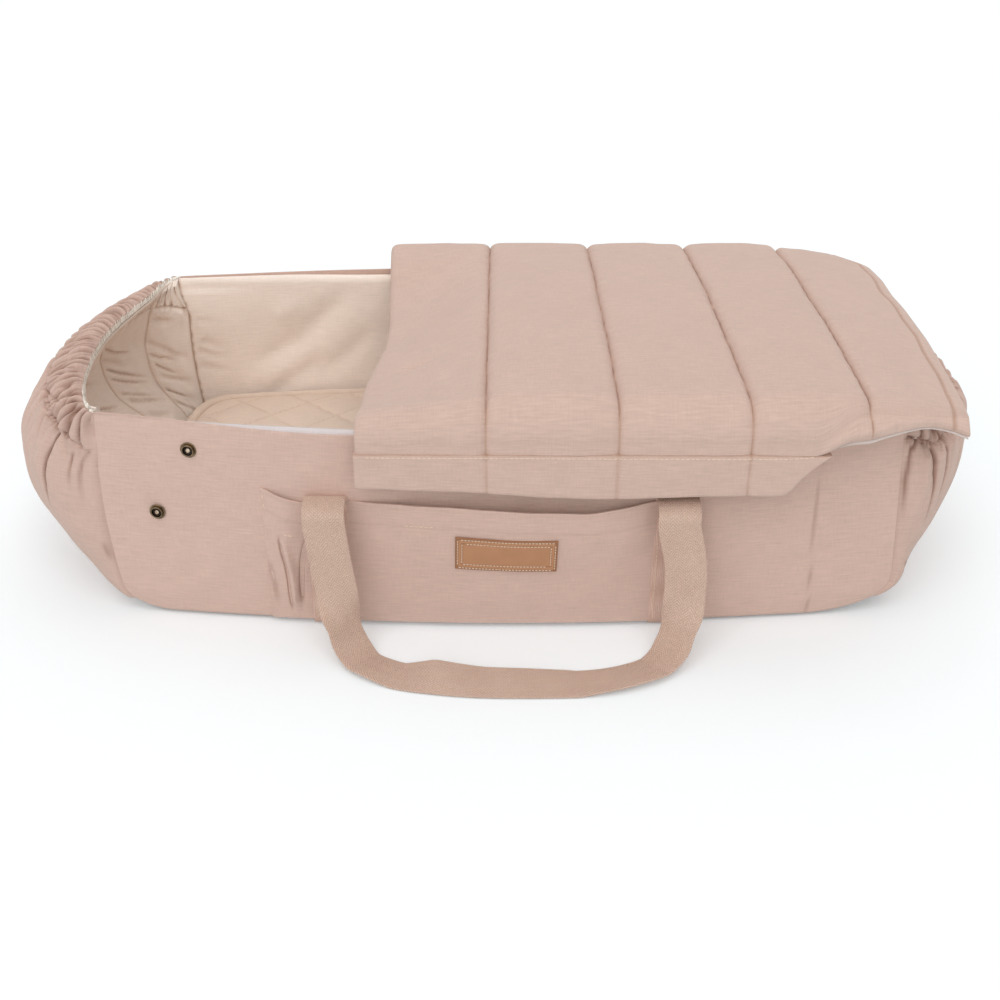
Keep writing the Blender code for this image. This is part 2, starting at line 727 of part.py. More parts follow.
def build_stud(side, level, x, height, panel, brass):
    """A press stud set through an outer panel, and the ring that holds it from behind."""
    name = ("front_" if side == FRONT else "back_") + level
    axis = side_normal(x, height, side)
    seat = (x, side * side_face_y(x, height), height)
    flange = TOUCH + STUD_FLANGE
    tail = -OUTER_CLOTH - STUD_BACK_THICK - 2 * TOUCH
    well = flange + STUD_FLANGE / 4
    profile = [
        (STUD_POST_RADIUS, tail),
        (STUD_POST_RADIUS, TOUCH * 2),
        (STUD_RADIUS, TOUCH * 2),
        (STUD_RADIUS, flange),
        (STUD_WALL_RADIUS, flange),
        (STUD_WALL_RADIUS, flange + STUD_WALL_HEIGHT),
        (STUD_WELL_RADIUS, flange + STUD_WALL_HEIGHT),
        (STUD_WELL_RADIUS, well),
        (STUD_PIN_RADIUS, well),
        (STUD_PIN_RADIUS, flange + STUD_WALL_HEIGHT / 2),
    ]
    lathe(f"{name}_stud", profile, seat, axis, brass)

    hole = [(STUD_POST_RADIUS + STUD_HOLE_PLAY, 2 * tail), (STUD_POST_RADIUS + STUD_HOLE_PLAY, -2 * tail)]
    cutter = lathe(f"{name}_stud_hole", hole, seat, axis, brass)
    cutter.hide_render = True
    cutter.display_type = "WIRE"
    cut = panel.modifiers.new(f"{level}_stud_hole", "BOOLEAN")
    cut.object = cutter
    cut.solver = "EXACT"

    bore = STUD_POST_RADIUS + TOUCH
    front_face = -OUTER_CLOTH - TOUCH
    ring = [
        (bore, front_face - STUD_BACK_THICK),
        (STUD_BACK_RADIUS, front_face - STUD_BACK_THICK),
        (STUD_BACK_RADIUS, front_face),
        (bore, front_face),
    ]
    make_ring(f"{name}_stud_back", ring, seat, axis, brass)


def make_ring(name, profile, place, axis, finish):
    """A turned ring with an open bore."""
    side = unit(cross(axis, (0.0, 0.0, 1.0)))
    up = cross(side, axis)
    shape = bmesh.new()
    rings = []
    for k in range(STUD_SIDES):
        angle = 2 * HALF_TURN * k / STUD_SIDES
        ring = []
        for radius, distance in profile:
            point = tuple(
                p + distance * a + radius * (math.cos(angle) * s + math.sin(angle) * u)
                for p, a, s, u in zip(place, axis, side, up)
            )
            ring.append(shape.verts.new(point))
        rings.append(ring)
    for k in range(STUD_SIDES):
        first, second = rings[k], rings[(k + 1) % STUD_SIDES]
        for j in range(len(profile)):
            after = (j + 1) % len(profile)
            shape.faces.new((first[j], first[after], second[after], second[j]))
    bmesh.ops.recalc_face_normals(shape, faces=shape.faces)
    mesh = bpy.data.meshes.new(name)
    shape.to_mesh(mesh)
    shape.free()
    return add_object(name, mesh, finish)


def cover_under():
    """The height of the quilt's underside where it lies over the rim."""
    return RIM_HEIGHT + COVER_REST_GAP + COVER_LINING + TOUCH


def cover_skirt_share(x):
    """1 where the skirt hangs down, and 0 past its end towards the foot."""
    return 1.0 - smooth((x - SKIRT_END_X) / SKIRT_FADE)


def cover_section(x):
    """Half of the quilt's middle line at x: points, normals and thickness shares.

    It runs from the middle of the quilt over its shoulder to the lower edge of the skirt.
    """
    skirt = cover_skirt_share(x)
    wide = COVER_HALF_WIDTH - SKIRT_THICK / 2
    top = cover_under() + COVER_THICK / 2
    sag = HEAD_SAG * (1.0 - smooth((x - COVER_HEAD_X) / HEAD_SAG_LENGTH))
    turn = math.radians(mix(FOOT_EDGE_ANGLE, 90.0, skirt))
    flat = wide - SHOULDER_RADIUS
    found = []
    for share in spread(0.0, 1.0, 6):
        dip = sag * math.cos(HALF_TURN / 2 * share) ** 1.5
        z = top + COVER_DOME * (1.0 - share * share) - dip
        found.append((flat * share, z, 0.0, 1.0, 1.0))
    for share in (0.34, 0.67, 1.0):
        angle = turn * share
        y = flat + SHOULDER_RADIUS * math.sin(angle)
        z = top - SHOULDER_RADIUS * (1.0 - math.cos(angle))
        found.append((y, z, math.sin(angle), math.cos(angle), 1.0 - share))
    y, z = found[-1][0], found[-1][1]
    hang = mix(FOOT_EDGE_HANG, max(z - HEM_TOP_Z - TOUCH, 0.0), skirt)
    lower = (y + hang * math.cos(turn), z - hang * math.sin(turn))
    found.append((*lower, math.sin(turn), math.cos(turn), 0.0))
    return found


def foot_end_share(x):
    """0 up to where the cover starts to thin and curve in, and 1 at its foot edge."""
    return max(0.0, (x - FOOT_END_START_X) / (COVER_FOOT_X - FOOT_END_START_X))


def edge_shift(x, y):
    """How far a point of the cover moves along X to shape its two short edges."""
    across = abs(y / COVER_HALF_WIDTH)
    head = 1.0 - smooth((x - COVER_HEAD_X) / CHANNEL_PITCH)
    concavity = HEAD_EDGE_CONCAVITY * head * (1.0 - across ** 2)
    return concavity - FOOT_EDGE_BOW * foot_end_share(x) * across ** 2


def cover_loop(x, low_offset, high_offset, skip=0):
    """A closed loop of the cover at x, between two offsets from its middle line.

    Each offset takes the local thickness and how far the point is round the shoulder.
    """
    half = cover_section(x)
    half = half[:len(half) - skip]
    upper, lower = [], []
    for y, z, out_y, out_z, flat_share in half:
        thick = mix(SKIRT_THICK, COVER_THICK, flat_share)
        top, low = high_offset(thick, flat_share), low_offset(thick)
        upper.append((y + out_y * top, z + out_z * top))
        lower.append((y + out_y * low, z + out_z * low))
    chain = [(-y, z) for y, z in upper[:0:-1]] + upper
    back = [(-y, z) for y, z in lower[:0:-1]] + lower
    return [(x + edge_shift(x, y), y, z) for y, z in chain + back[::-1]]


def cover_stations(first, last):
    """Stations along the cover as (x, how full, how thin), channel by channel."""
    count = math.ceil((COVER_FOOT_X - COVER_HEAD_X) / CHANNEL_PITCH)
    found = []
    for channel in range(count):
        start = COVER_HEAD_X + channel * CHANNEL_PITCH
        end = min(start + CHANNEL_PITCH, COVER_FOOT_X)
        for share, full in zip(CHANNEL_SHARES, CHANNEL_FULL_SHARES):
            found.append((mix(start, end, share), full))
    found.append((COVER_FOOT_X, 0.0))
    kept = []
    for x, full in found:
        if first - TOUCH < x < last + TOUCH:
            held = min(max(x, first + TOUCH / 2), last - TOUCH / 2)
            thin = mix(1.0, COVER_EDGE_SHARE, 1.0 if x <= COVER_HEAD_X else foot_end_share(x))
            kept.append((held, full, thin))
    return kept


def build_quilt(name, first, last, cloth, lining):
    """A length of the quilt and the cloth that lines it."""
    quilt_loops, lining_loops = [], []
    for x, full, thin in cover_stations(first, last):
        crown = mix(-COVER_SEAM_DIP, COVER_CROWN, full)

        def high(thick, flat_share):
            return thick * (thin - 0.5) + crown * mix(0.35, 1.0, flat_share)

        quilt_loops.append(cover_loop(x, lambda thick: -thick / 2, high))
        lining_loops.append(
            cover_loop(
                x,
                lambda thick: -thick / 2 - TOUCH - COVER_LINING,
                lambda thick, flat_share: -thick / 2 - TOUCH,
                skip=1,
            )
        )
    loft(f"{name}_quilt", quilt_loops, cloth)
    loft(f"{name}_lining", lining_loops, lining)


def build_hem(name, first, last, side, cloth):
    """A hem band under the skirt, swept up at its foot end."""
    loops = []
    outer_y = COVER_HALF_WIDTH
    inner_y = COVER_HALF_WIDTH - SKIRT_THICK
    for x in spread(first + TOUCH / 2, last - TOUCH / 2, 7):
        sweep = smooth((x - HEM_FOOT_X) / HEM_SWEEP)
        bottom = mix(HEM_BOTTOM_Z, HEM_TOP_Z - SKIRT_THICK, sweep)
        top = HEM_TOP_Z
        loops.append(
            [
                (x, side * outer_y, bottom),
                (x, side * outer_y, mix(bottom, top, 0.5)),
                (x, side * outer_y, top),
                (x, side * inner_y, top),
                (x, side * inner_y, mix(bottom, top, 0.5)),
                (x, side * inner_y, bottom),
            ]
        )
    loft(name, loops, cloth)


def build_tapes(side, name, tape):
    """The loop tape sewn to an outer panel, and the hook tape inside the hem above it."""
    low, high = HEM_BOTTOM_Z + TAPE_MARGIN, HEM_TOP_Z - TAPE_MARGIN
    loop_loops, hook_loops = [], []
    hook_y = COVER_HALF_WIDTH - SKIRT_THICK - TOUCH
    for x in spread(TAPE_HEAD_X, TAPE_FOOT_X, TAPE_STATIONS):
        near = [(x, side * (side_face_y(x, z) + TOUCH), z) for z in (low, high)]
        far = [(x, side * (side_face_y(x, z) + TOUCH + TAPE_THICK), z) for z in (high, low)]
        loop_loops.append(far[::-1] + near[::-1])
        near = [(x, side * (hook_y - TAPE_THICK), z) for z in (low, high)]
        far = [(x, side * hook_y, z) for z in (high, low)]
        hook_loops.append(far[::-1] + near[::-1])
    loft(f"{name}_loop_tape", loop_loops, tape)
    loft(f"{name}_hook_tape", hook_loops, tape)


def fold_seam_x():
    return COVER_HEAD_X + FOLD_SEAM * CHANNEL_PITCH


def fold_axis_z():
    """The cover folds back about a line just above its highest channel."""
    return cover_under() + COVER_THICK + COVER_DOME + COVER_CROWN + FOLD_CLEARANCE


def hang_from_empty(name, place, members):
    """Parents moving pieces to an empty on their joint's axis, without moving them."""
    pivot = bpy.data.objects.new(name, None)
    pivot.location = (frame_shift() + place[0], place[1], place[2])
    bpy.context.scene.collection.objects.link(pivot)
    bpy.context.view_layer.update()
    for member in members:
        piece = bpy.data.objects[member]
        piece.parent = pivot
        piece.matrix_parent_inverse = pivot.matrix_world.inverted()


def main():
    for old in list(bpy.data.objects):
        bpy.data.objects.remove(old)

    cloth = material("rose_cotton", (0.60, 0.43, 0.36), 0.92)
    lining = material("cream_cotton", (0.78, 0.64, 0.53), 0.92)
    quilting = material("mattress_cotton", (0.76, 0.62, 0.51), 0.92)
    webbing = material("webbing", (0.58, 0.40, 0.31), 0.85)
    leather = material("leather", (0.44, 0.22, 0.12), 0.55)
    brass = material("antique_brass", (0.19, 0.15, 0.10), 0.38, 1.0)
    board = material("fibreboard", (0.42, 0.33, 0.24), 0.80)
    foam = material("foam", (0.86, 0.83, 0.76), 0.95)
    elastic = material("elastic", (0.86, 0.84, 0.80), 0.80)
    tape = material("hook_and_loop", (0.62, 0.48, 0.42), 0.95)

    for side, name in ((FRONT, "front"), (BACK, "back")):
        panel = build_side(side, name, cloth, board, lining)
        build_stud(side, "upper", STUD_UPPER_X, STUD_UPPER_Z, panel, brass)
        build_stud(side, "lower", STUD_LOWER_X, STUD_LOWER_Z, panel, brass)
        build_tapes(side, name, tape)
    for end, name in ((HEAD, "head"), (FOOT, "foot")):
        build_end(end, name, cloth, elastic, lining)
    build_floor(cloth, board, lining)
    build_mattress(foam, quilting)
    build_strap("head_carry_strap", -STRAP_X, webbing)
    build_strap("foot_carry_strap", STRAP_X, webbing)
    build_handle("front_handle", FRONT, webbing)
    build_handle("back_handle", BACK, webbing)
    build_pocket(cloth, leather)

    seam = fold_seam_x()
    build_quilt("cover_head", COVER_HEAD_X, seam, cloth, lining)
    build_quilt("cover_foot", seam, COVER_FOOT_X, cloth, lining)
    for side, name in ((FRONT, "front"), (BACK, "back")):
        build_hem(f"cover_head_hem_{name}", COVER_HEAD_X, seam, side, cloth)
        build_hem(f"cover_foot_hem_{name}", seam, HEM_FOOT_X + HEM_SWEEP, side, cloth)

    fold_pieces = ["cover_head_quilt", "cover_head_lining", "cover_head_hem_front"]
    fold_pieces += ["cover_head_hem_back", "front_hook_tape", "back_hook_tape"]
    hang_from_empty("cover_fold_axis", (seam, 0.0, fold_axis_z()), fold_pieces)
    hang_from_empty("front_handle_axis", (0.0, -PIVOT_Y, STRAP_TOP), ["front_handle"])
    hang_from_empty("back_handle_axis", (0.0, PIVOT_Y, STRAP_TOP), ["back_handle"])


main()
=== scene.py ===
"""Looks of a soft fabric carrycot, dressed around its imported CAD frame.

Frame: metres, +Z up, +X from the head end to the foot end, and the pocket side faces -Y.
Places along X are measured from the middle of the side panels, as in the CAD source, and
each finished mesh is then moved along X by the frame's own small step.
"""

import logging
import math
from dataclasses import dataclass, field
from enum import Enum
from typing import Any, Optional, Sequence

import bpy
import numpy as np
from mathutils import Matrix, Vector

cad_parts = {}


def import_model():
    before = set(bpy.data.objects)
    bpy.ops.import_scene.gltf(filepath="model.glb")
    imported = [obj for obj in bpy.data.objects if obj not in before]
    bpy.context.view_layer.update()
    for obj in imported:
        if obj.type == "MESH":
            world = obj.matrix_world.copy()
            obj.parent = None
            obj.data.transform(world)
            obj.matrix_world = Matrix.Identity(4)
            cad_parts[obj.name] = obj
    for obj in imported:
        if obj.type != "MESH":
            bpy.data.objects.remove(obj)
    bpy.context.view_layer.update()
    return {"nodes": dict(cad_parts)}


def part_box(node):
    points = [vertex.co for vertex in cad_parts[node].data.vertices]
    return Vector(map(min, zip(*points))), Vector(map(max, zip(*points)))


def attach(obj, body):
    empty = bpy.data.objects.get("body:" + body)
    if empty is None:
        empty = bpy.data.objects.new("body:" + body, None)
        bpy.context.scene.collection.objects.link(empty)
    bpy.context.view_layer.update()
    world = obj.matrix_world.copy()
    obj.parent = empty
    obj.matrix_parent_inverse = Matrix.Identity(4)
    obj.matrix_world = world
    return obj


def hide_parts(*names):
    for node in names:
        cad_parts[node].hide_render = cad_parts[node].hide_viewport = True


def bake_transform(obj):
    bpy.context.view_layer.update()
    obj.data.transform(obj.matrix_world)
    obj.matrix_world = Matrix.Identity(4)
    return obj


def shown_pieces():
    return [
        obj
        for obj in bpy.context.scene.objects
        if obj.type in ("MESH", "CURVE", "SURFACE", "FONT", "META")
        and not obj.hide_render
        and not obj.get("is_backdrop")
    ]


LOG = logging.getLogger("carrycot")
Array = np.ndarray
Point = tuple[float, float]
Colour = tuple[float, float, float, float]
MM = 0.001
# Name of the point attribute for painted shade in creases, seams and gathers, and the leather label's darker edges
# and stitch rows.
SHADE_AND_EDGE_TONE = "hollow"
TOP_ROW = 7.0
FLOOR_INSET = 0.0064
FULL_TURN = 2 * math.pi


class Place(Enum):
    """A part of the tub, which comes in two."""

    @property
    def word(self) -> str:
        """Its word in the names of its nodes."""
        return self.name.lower()

    def pick(self, first: Any, second: Any) -> Any:
        """The first value at the front or the head, and the second at the back or the foot."""
        return first if self.value < 0 else second


class Side(Place):
    """The two long sides of the tub."""

    FRONT = -1
    BACK = 1


class End(Place):
    """The two rounded ends of the tub."""

    HEAD = -1
    FOOT = 1


class Profile(Enum):
    """How a fold's height falls off across it."""

    SOFT = "soft"
    TUCK = "tuck"


# --------------------------------------------------------------------------- numbers


def smooth(value: Array | float) -> Array:
    """Eases from 0 to 1 as value goes from 0 to 1."""
    held = np.clip(value, 0.0, 1.0)
    return held * held * (3.0 - 2.0 * held)


def mix(first: Any, second: Any, share: Any) -> Any:
    """A value between first and second."""
    return first + (second - first) * share


def bell(value: Array, width: float) -> Array:
    """A smooth bump of height 1 at 0."""
    return np.exp(-((value / width) ** 2))


def through(values: Sequence[float] | Array, where: Array) -> Array:
    """A smooth curve through evenly spaced values.

    Args:
        values: The values at 0, 1, 2 and so on.
        where: Places among them, which may be fractions.

    Returns:
        The curve's values there.
    """
    v = np.asarray(values, float)
    v = np.concatenate([[2 * v[0] - v[1]], v, [2 * v[-1] - v[-2]]])
    k = np.clip(np.floor(where).astype(int), 0, len(v) - 4)
    t = np.asarray(where, float) - k
    a, b, c, d = (v[k + step] for step in range(4))
    return 0.5 * (2 * b + (c - a) * t + (2 * a - 5 * b + 4 * c - d) * t**2 + (3 * b - a - 3 * c + d) * t**3)


def along(points: Sequence[Point], where: Array) -> Array:
    """Straight runs through (place, value) pairs, eased a little by their neighbours."""
    x, y = (np.array(part, float) for part in zip(*points))
    fine = np.linspace(x[0], x[-1], 400)
    value = np.interp(fine, x, y)
    kernel = np.hanning(23)
    padded = np.pad(value, 11, mode="edge")
    return np.interp(where, fine, np.convolve(padded, kernel / kernel.sum(), mode="valid"))


def ripples(u: Array, v: Array, size: float, seed: int, stretch: Point = (1.0, 1.0)) -> Array:
    """Seeded soft unevenness, about -1 to 1.

    Args:
        u: First coordinate in metres.
        v: Second coordinate in metres.
        size: Usual distance between two rises.
        seed: Which pattern.
        stretch: How much longer the rises are along each coordinate.

    Returns:
        The unevenness at each place.
    """
    rng = np.random.default_rng(seed)
    total = np.zeros(np.broadcast(u, v).shape)
    for _ in range(10):
        turn, pace, phase = rng.uniform(0, FULL_TURN), rng.uniform(0.55, 1.7), rng.uniform(0, 6.3)
        wave = FULL_TURN / size * pace
        total += np.sin(wave * (u * math.cos(turn) / stretch[0] + v * math.sin(turn) / stretch[1]) + phase)
    return total / 4.5


def arch(share: Array | float) -> Array:
    """Rises from 0 to 1 like a quarter of a circle, as share goes from 0 to 1."""
    return np.sqrt(1 - (1 - np.clip(share, 0, 1)) ** 2)


def steps(start: float, *legs: tuple[float, int]) -> Array:
    """Even steps from start through legs of (end, count), each place once."""
    parts = []
    for end, count in legs:
        parts.append(np.linspace(start, end, count)[:-1])
        start = end
    return np.append(np.concatenate(parts), start)


def run_of(line: Array) -> Array:
    """The length of a line up to each of its points."""
    return np.append(0.0, np.cumsum(np.linalg.norm(np.diff(line, axis=0), axis=1)))


def read_at(places: Array, run: Array, line: Array) -> Array:
    """A line's points or vectors at lengths along it."""
    return np.stack([np.interp(places, run, line[:, k]) for k in range(line.shape[1])], -1)


def unit(vectors: Array) -> Array:
    """Vectors made 1 long."""
    return vectors / np.linalg.norm(vectors, axis=-1, keepdims=True)


def facing(points: Array, inside: Sequence[float]) -> Array:
    """Unit normals of a grid of points, (rows, columns, 3), that turn away from a point inside."""
    n = np.cross(np.gradient(points, axis=0), np.gradient(points, axis=1))
    n /= np.linalg.norm(n, axis=-1, keepdims=True) + 1e-15
    turned = np.sum(n * (points - np.array(inside)))
    return n if turned > 0 else -n


def cloth_metres(points: Array) -> Array:
    """UV in metres: the length of cloth along each axis of a grid, from its middle."""
    uv = np.zeros((*points.shape[:2], 2))
    for axis in (0, 1):
        lengths = np.linalg.norm(np.diff(points, axis=axis), axis=-1)
        run = np.cumsum(lengths, axis=axis)
        run = np.concatenate([np.zeros_like(np.take(run, [0], axis=axis)), run], axis=axis)
        uv[..., axis] = run - np.take(run, [run.shape[axis] // 2], axis=axis)
    return uv


@dataclass(frozen=True)
class Fold:
    """A crease or ridge that runs along a path on the cloth.

    Attributes:
        path: Points on the cloth in metres.
        width: Half the fold's width.
        height: How far it rises, or falls where negative.
        ends: Share of its length over which each end dies away.
        profile: How its height falls off across it.
    """

    path: tuple[Point, ...]
    width: float
    height: float
    ends: Point = (0.25, 0.25)
    profile: Profile = Profile.SOFT

    def over(self, u: Array, v: Array) -> Array:
        """The fold's height at each place of the cloth."""
        pts = np.array(self.path, float)
        legs = np.diff(pts, axis=0)
        lengths = np.linalg.norm(legs, axis=1)
        total, done = lengths.sum(), 0.0
        reach = 4.0 * self.width
        inside = (
            (u > pts[:, 0].min() - reach) & (u < pts[:, 0].max() + reach)
            & (v > pts[:, 1].min() - reach) & (v < pts[:, 1].max() + reach)
        )
        found = np.zeros(u.shape)
        if not inside.any():
            return found
        uu, vv = u[inside], v[inside]
        best = np.full(uu.shape, 1e9)
        signed, place = np.zeros(uu.shape), np.zeros(uu.shape)
        for start, leg, length in zip(pts[:-1], legs, lengths):
            t = np.clip(((uu - start[0]) * leg[0] + (vv - start[1]) * leg[1]) / length**2, 0, 1)
            du, dv = uu - start[0] - t * leg[0], vv - start[1] - t * leg[1]
            gap = np.hypot(du, dv)
            nearer = gap < best
            best = np.where(nearer, gap, best)
            cross = (leg[0] * dv - leg[1] * du) / length
            signed = np.where(nearer, np.sign(cross) * gap, signed)
            place = np.where(nearer, (done + t * length) / total, place)
            done += length
        fade = smooth(place / max(self.ends[0], 1e-6)) * smooth((1 - place) / max(self.ends[1], 1e-6))
        if self.profile is Profile.TUCK:
            shape = bell(best, self.width * 0.6) - 0.8 * bell(signed - 2.2 * self.width, 1.9 * self.width)
        else:
            shape = bell(best, self.width)
        found[inside] = self.height * fade * shape
        return found


def in_mm(*rows: Any) -> list[Fold]:
    """Folds from rows of path, width and height in millimetres, ends and profile."""
    return [
        Fold(tuple((u * MM, v * MM) for u, v in path), width * MM, height * MM, *rest)
        for path, width, height, *rest in rows
    ]


def folded(folds: Sequence[Fold], u: Array, v: Array) -> tuple[Array, Array]:
    """The height of all folds together, and the painted shade in the narrow ones."""
    total = np.zeros(np.broadcast(u, v).shape)
    dark = np.zeros(total.shape)
    uu, vv = np.broadcast_to(u, total.shape), np.broadcast_to(v, total.shape)
    for fold in folds:
        rise = fold.over(uu, vv)
        total += rise
        narrow = min(1.0, 0.0016 / fold.width) ** 2
        # Painted shade: narrow folds darken the cloth in proportion to their depth.
        dark = np.maximum(dark, np.clip(-rise / 0.0022, 0, 1) * narrow)
    return total, dark


def pleats(u: Array, v: Array, pitch: float, seed: int, power: float = 0.65) -> Array:
    """Rounded pleats, 0 to 1, between sharp valleys that wander, merge and die out."""
    warp = 0.60 * ripples(u, v, 0.036, seed, (1.0, 2.6)) + 0.14 * ripples(u, v, 0.012, seed + 1, (1.0, 4.0))
    full = np.clip(0.95 + 0.35 * ripples(u, v, 0.016, seed + 2, (1.0, 3.0)), 0.4, 1.3)
    return 1.0 - full * (1.0 - np.abs(np.sin(math.pi * (u / pitch + warp))) ** power)


# --------------------------------------------------------------------------- meshes


def grid_faces(rows: int, columns: int, start: int = 0, closed: bool = False) -> Array:
    """Four-sided faces of a grid of points."""
    i = np.arange(rows if closed else rows - 1)
    j = np.arange(columns - 1)
    a = start + i[:, None] * columns + j[None, :]
    b = start + ((i + 1) % rows)[:, None] * columns + j[None, :]
    return np.stack([a, b, b + 1, a + 1], -1).reshape(-1, 4)


def strip_faces(first: Array, second: Array) -> Array:
    """Faces between two rows of equally many points."""
    return np.stack([first[:-1], first[1:], second[1:], second[:-1]], -1)


def linked(name: str, data: Any) -> bpy.types.Object:
    """A new object in the scene."""
    made = bpy.data.objects.new(name, data)
    bpy.context.scene.collection.objects.link(made)
    return made


def dress(made: bpy.types.Object, slot: str, body: str, *nodes: str) -> None:
    """Hides the CAD nodes that a piece stands for and puts the piece on the body that it rides on."""
    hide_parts(*nodes)
    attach(made, body)


def mesh_object(
    name: str, points: Array, faces: list[list[int]], uv: Array, material: bpy.types.Material,
    hollow: Optional[Array] = None, sharp: float = 55.0,
) -> bpy.types.Object:
    """A smooth closed mesh with UV in metres, its faces turned outwards.

    Args:
        name: The piece's name.
        points: All points, in the frame of the side panels.
        faces: Its faces.
        uv: Each point's place on the cloth.
        material: Its finish.
        hollow: Painted shade at each point in creases, seams and gathers, and the leather label's darker edges and
            stitch rows, from 0 to 1.
        sharp: Edges steeper than this stay sharp, in degrees.

    Returns:
        The new object, at the origin of the row frame.
    """
    placed = FORM.settled(points) + np.array([FORM.shift, 0.0, 0.0])
    mesh = bpy.data.meshes.new(name)
    mesh.from_pydata(placed.tolist(), [], faces)
    mesh.calc_loop_triangles()
    tri = np.empty(len(mesh.loop_triangles) * 3, np.int32)
    mesh.loop_triangles.foreach_get("vertices", tri)
    a, b, c = (placed[tri.reshape(-1, 3)[:, k]] for k in range(3))
    if np.sum(a * np.cross(b, c)) < 0:
        mesh.flip_normals()
    loops = np.empty(len(mesh.loops), np.int32)
    mesh.loops.foreach_get("vertex_index", loops)
    layer = mesh.uv_layers.new(name="cloth")
    layer.data.foreach_set("uv", uv[loops].astype(np.float32).ravel())
    # Painted shade for each point, stored as an attribute that the materials read.
    mark = mesh.attributes.new(SHADE_AND_EDGE_TONE, "FLOAT", "POINT")
    depth = np.zeros(len(placed)) if hollow is None else np.clip(hollow, 0, 1)
    mark.data.foreach_set("value", depth.astype(np.float32).ravel())
    mesh.shade_smooth()
    mesh.set_sharp_from_angle(angle=math.radians(sharp))
    mesh.materials.append(material)
    return linked(name, mesh)


def lofted(
    name: str, rings: Array, uv: Array, material: bpy.types.Material,
    hollow: Optional[Array] = None, sharp: float = 60.0,
) -> bpy.types.Object:
    """A closed piece through rings of points, (round, along, 3), with a fan over each end."""
    around, count = rings.shape[:2]
    total = around * count
    ids = np.arange(total).reshape(around, count)
    faces = grid_faces(around, count, 0, True).tolist()
    for k, ring in enumerate((ids[:, 0], ids[::-1, -1])):
        faces += np.stack([np.roll(ring, -1), ring, np.full(around, total + k)], -1).tolist()
    points = np.concatenate([rings.reshape(-1, 3), [rings[:, 0].mean(0), rings[:, -1].mean(0)]])
    metres = np.concatenate([uv.reshape(-1, 2), np.zeros((2, 2))])
    # Painted shade for each point; the two end points get none.
    depth = None if hollow is None else np.append(hollow.ravel(), [0.0, 0.0])
    return mesh_object(name, points, faces, metres, material, depth, sharp)


def shell(
    name: str, front: Array, back: Array, material: bpy.types.Material,
    hollow: Optional[Array] = None, uv: Optional[Array] = None, sharp: float = 55.0,
) -> bpy.types.Object:
    """A closed piece of cloth or padding between its front and its back grid."""
    rows, columns = front.shape[:2]
    count = rows * columns
    ids = np.arange(count).reshape(rows, columns)
    faces = [grid_faces(rows, columns), grid_faces(rows, columns, count)[:, ::-1]]
    for edge in (ids[:, 0], ids[::-1, -1], ids[-1], ids[0, ::-1]):
        faces.append(strip_faces(edge, edge + count)[:, ::-1])
    metres = cloth_metres(front) if uv is None else uv
    both = np.concatenate([metres.reshape(-1, 2)] * 2)
    # Painted shade for each point of the front face; the back face gets none.
    depth = None if hollow is None else np.concatenate([hollow.ravel(), np.zeros(count)])
    points = np.concatenate([front.reshape(-1, 3), back.reshape(-1, 3)])
    return mesh_object(name, points, np.concatenate(faces).tolist(), both, material, depth, sharp)


# --------------------------------------------------------------------------- the tub's form


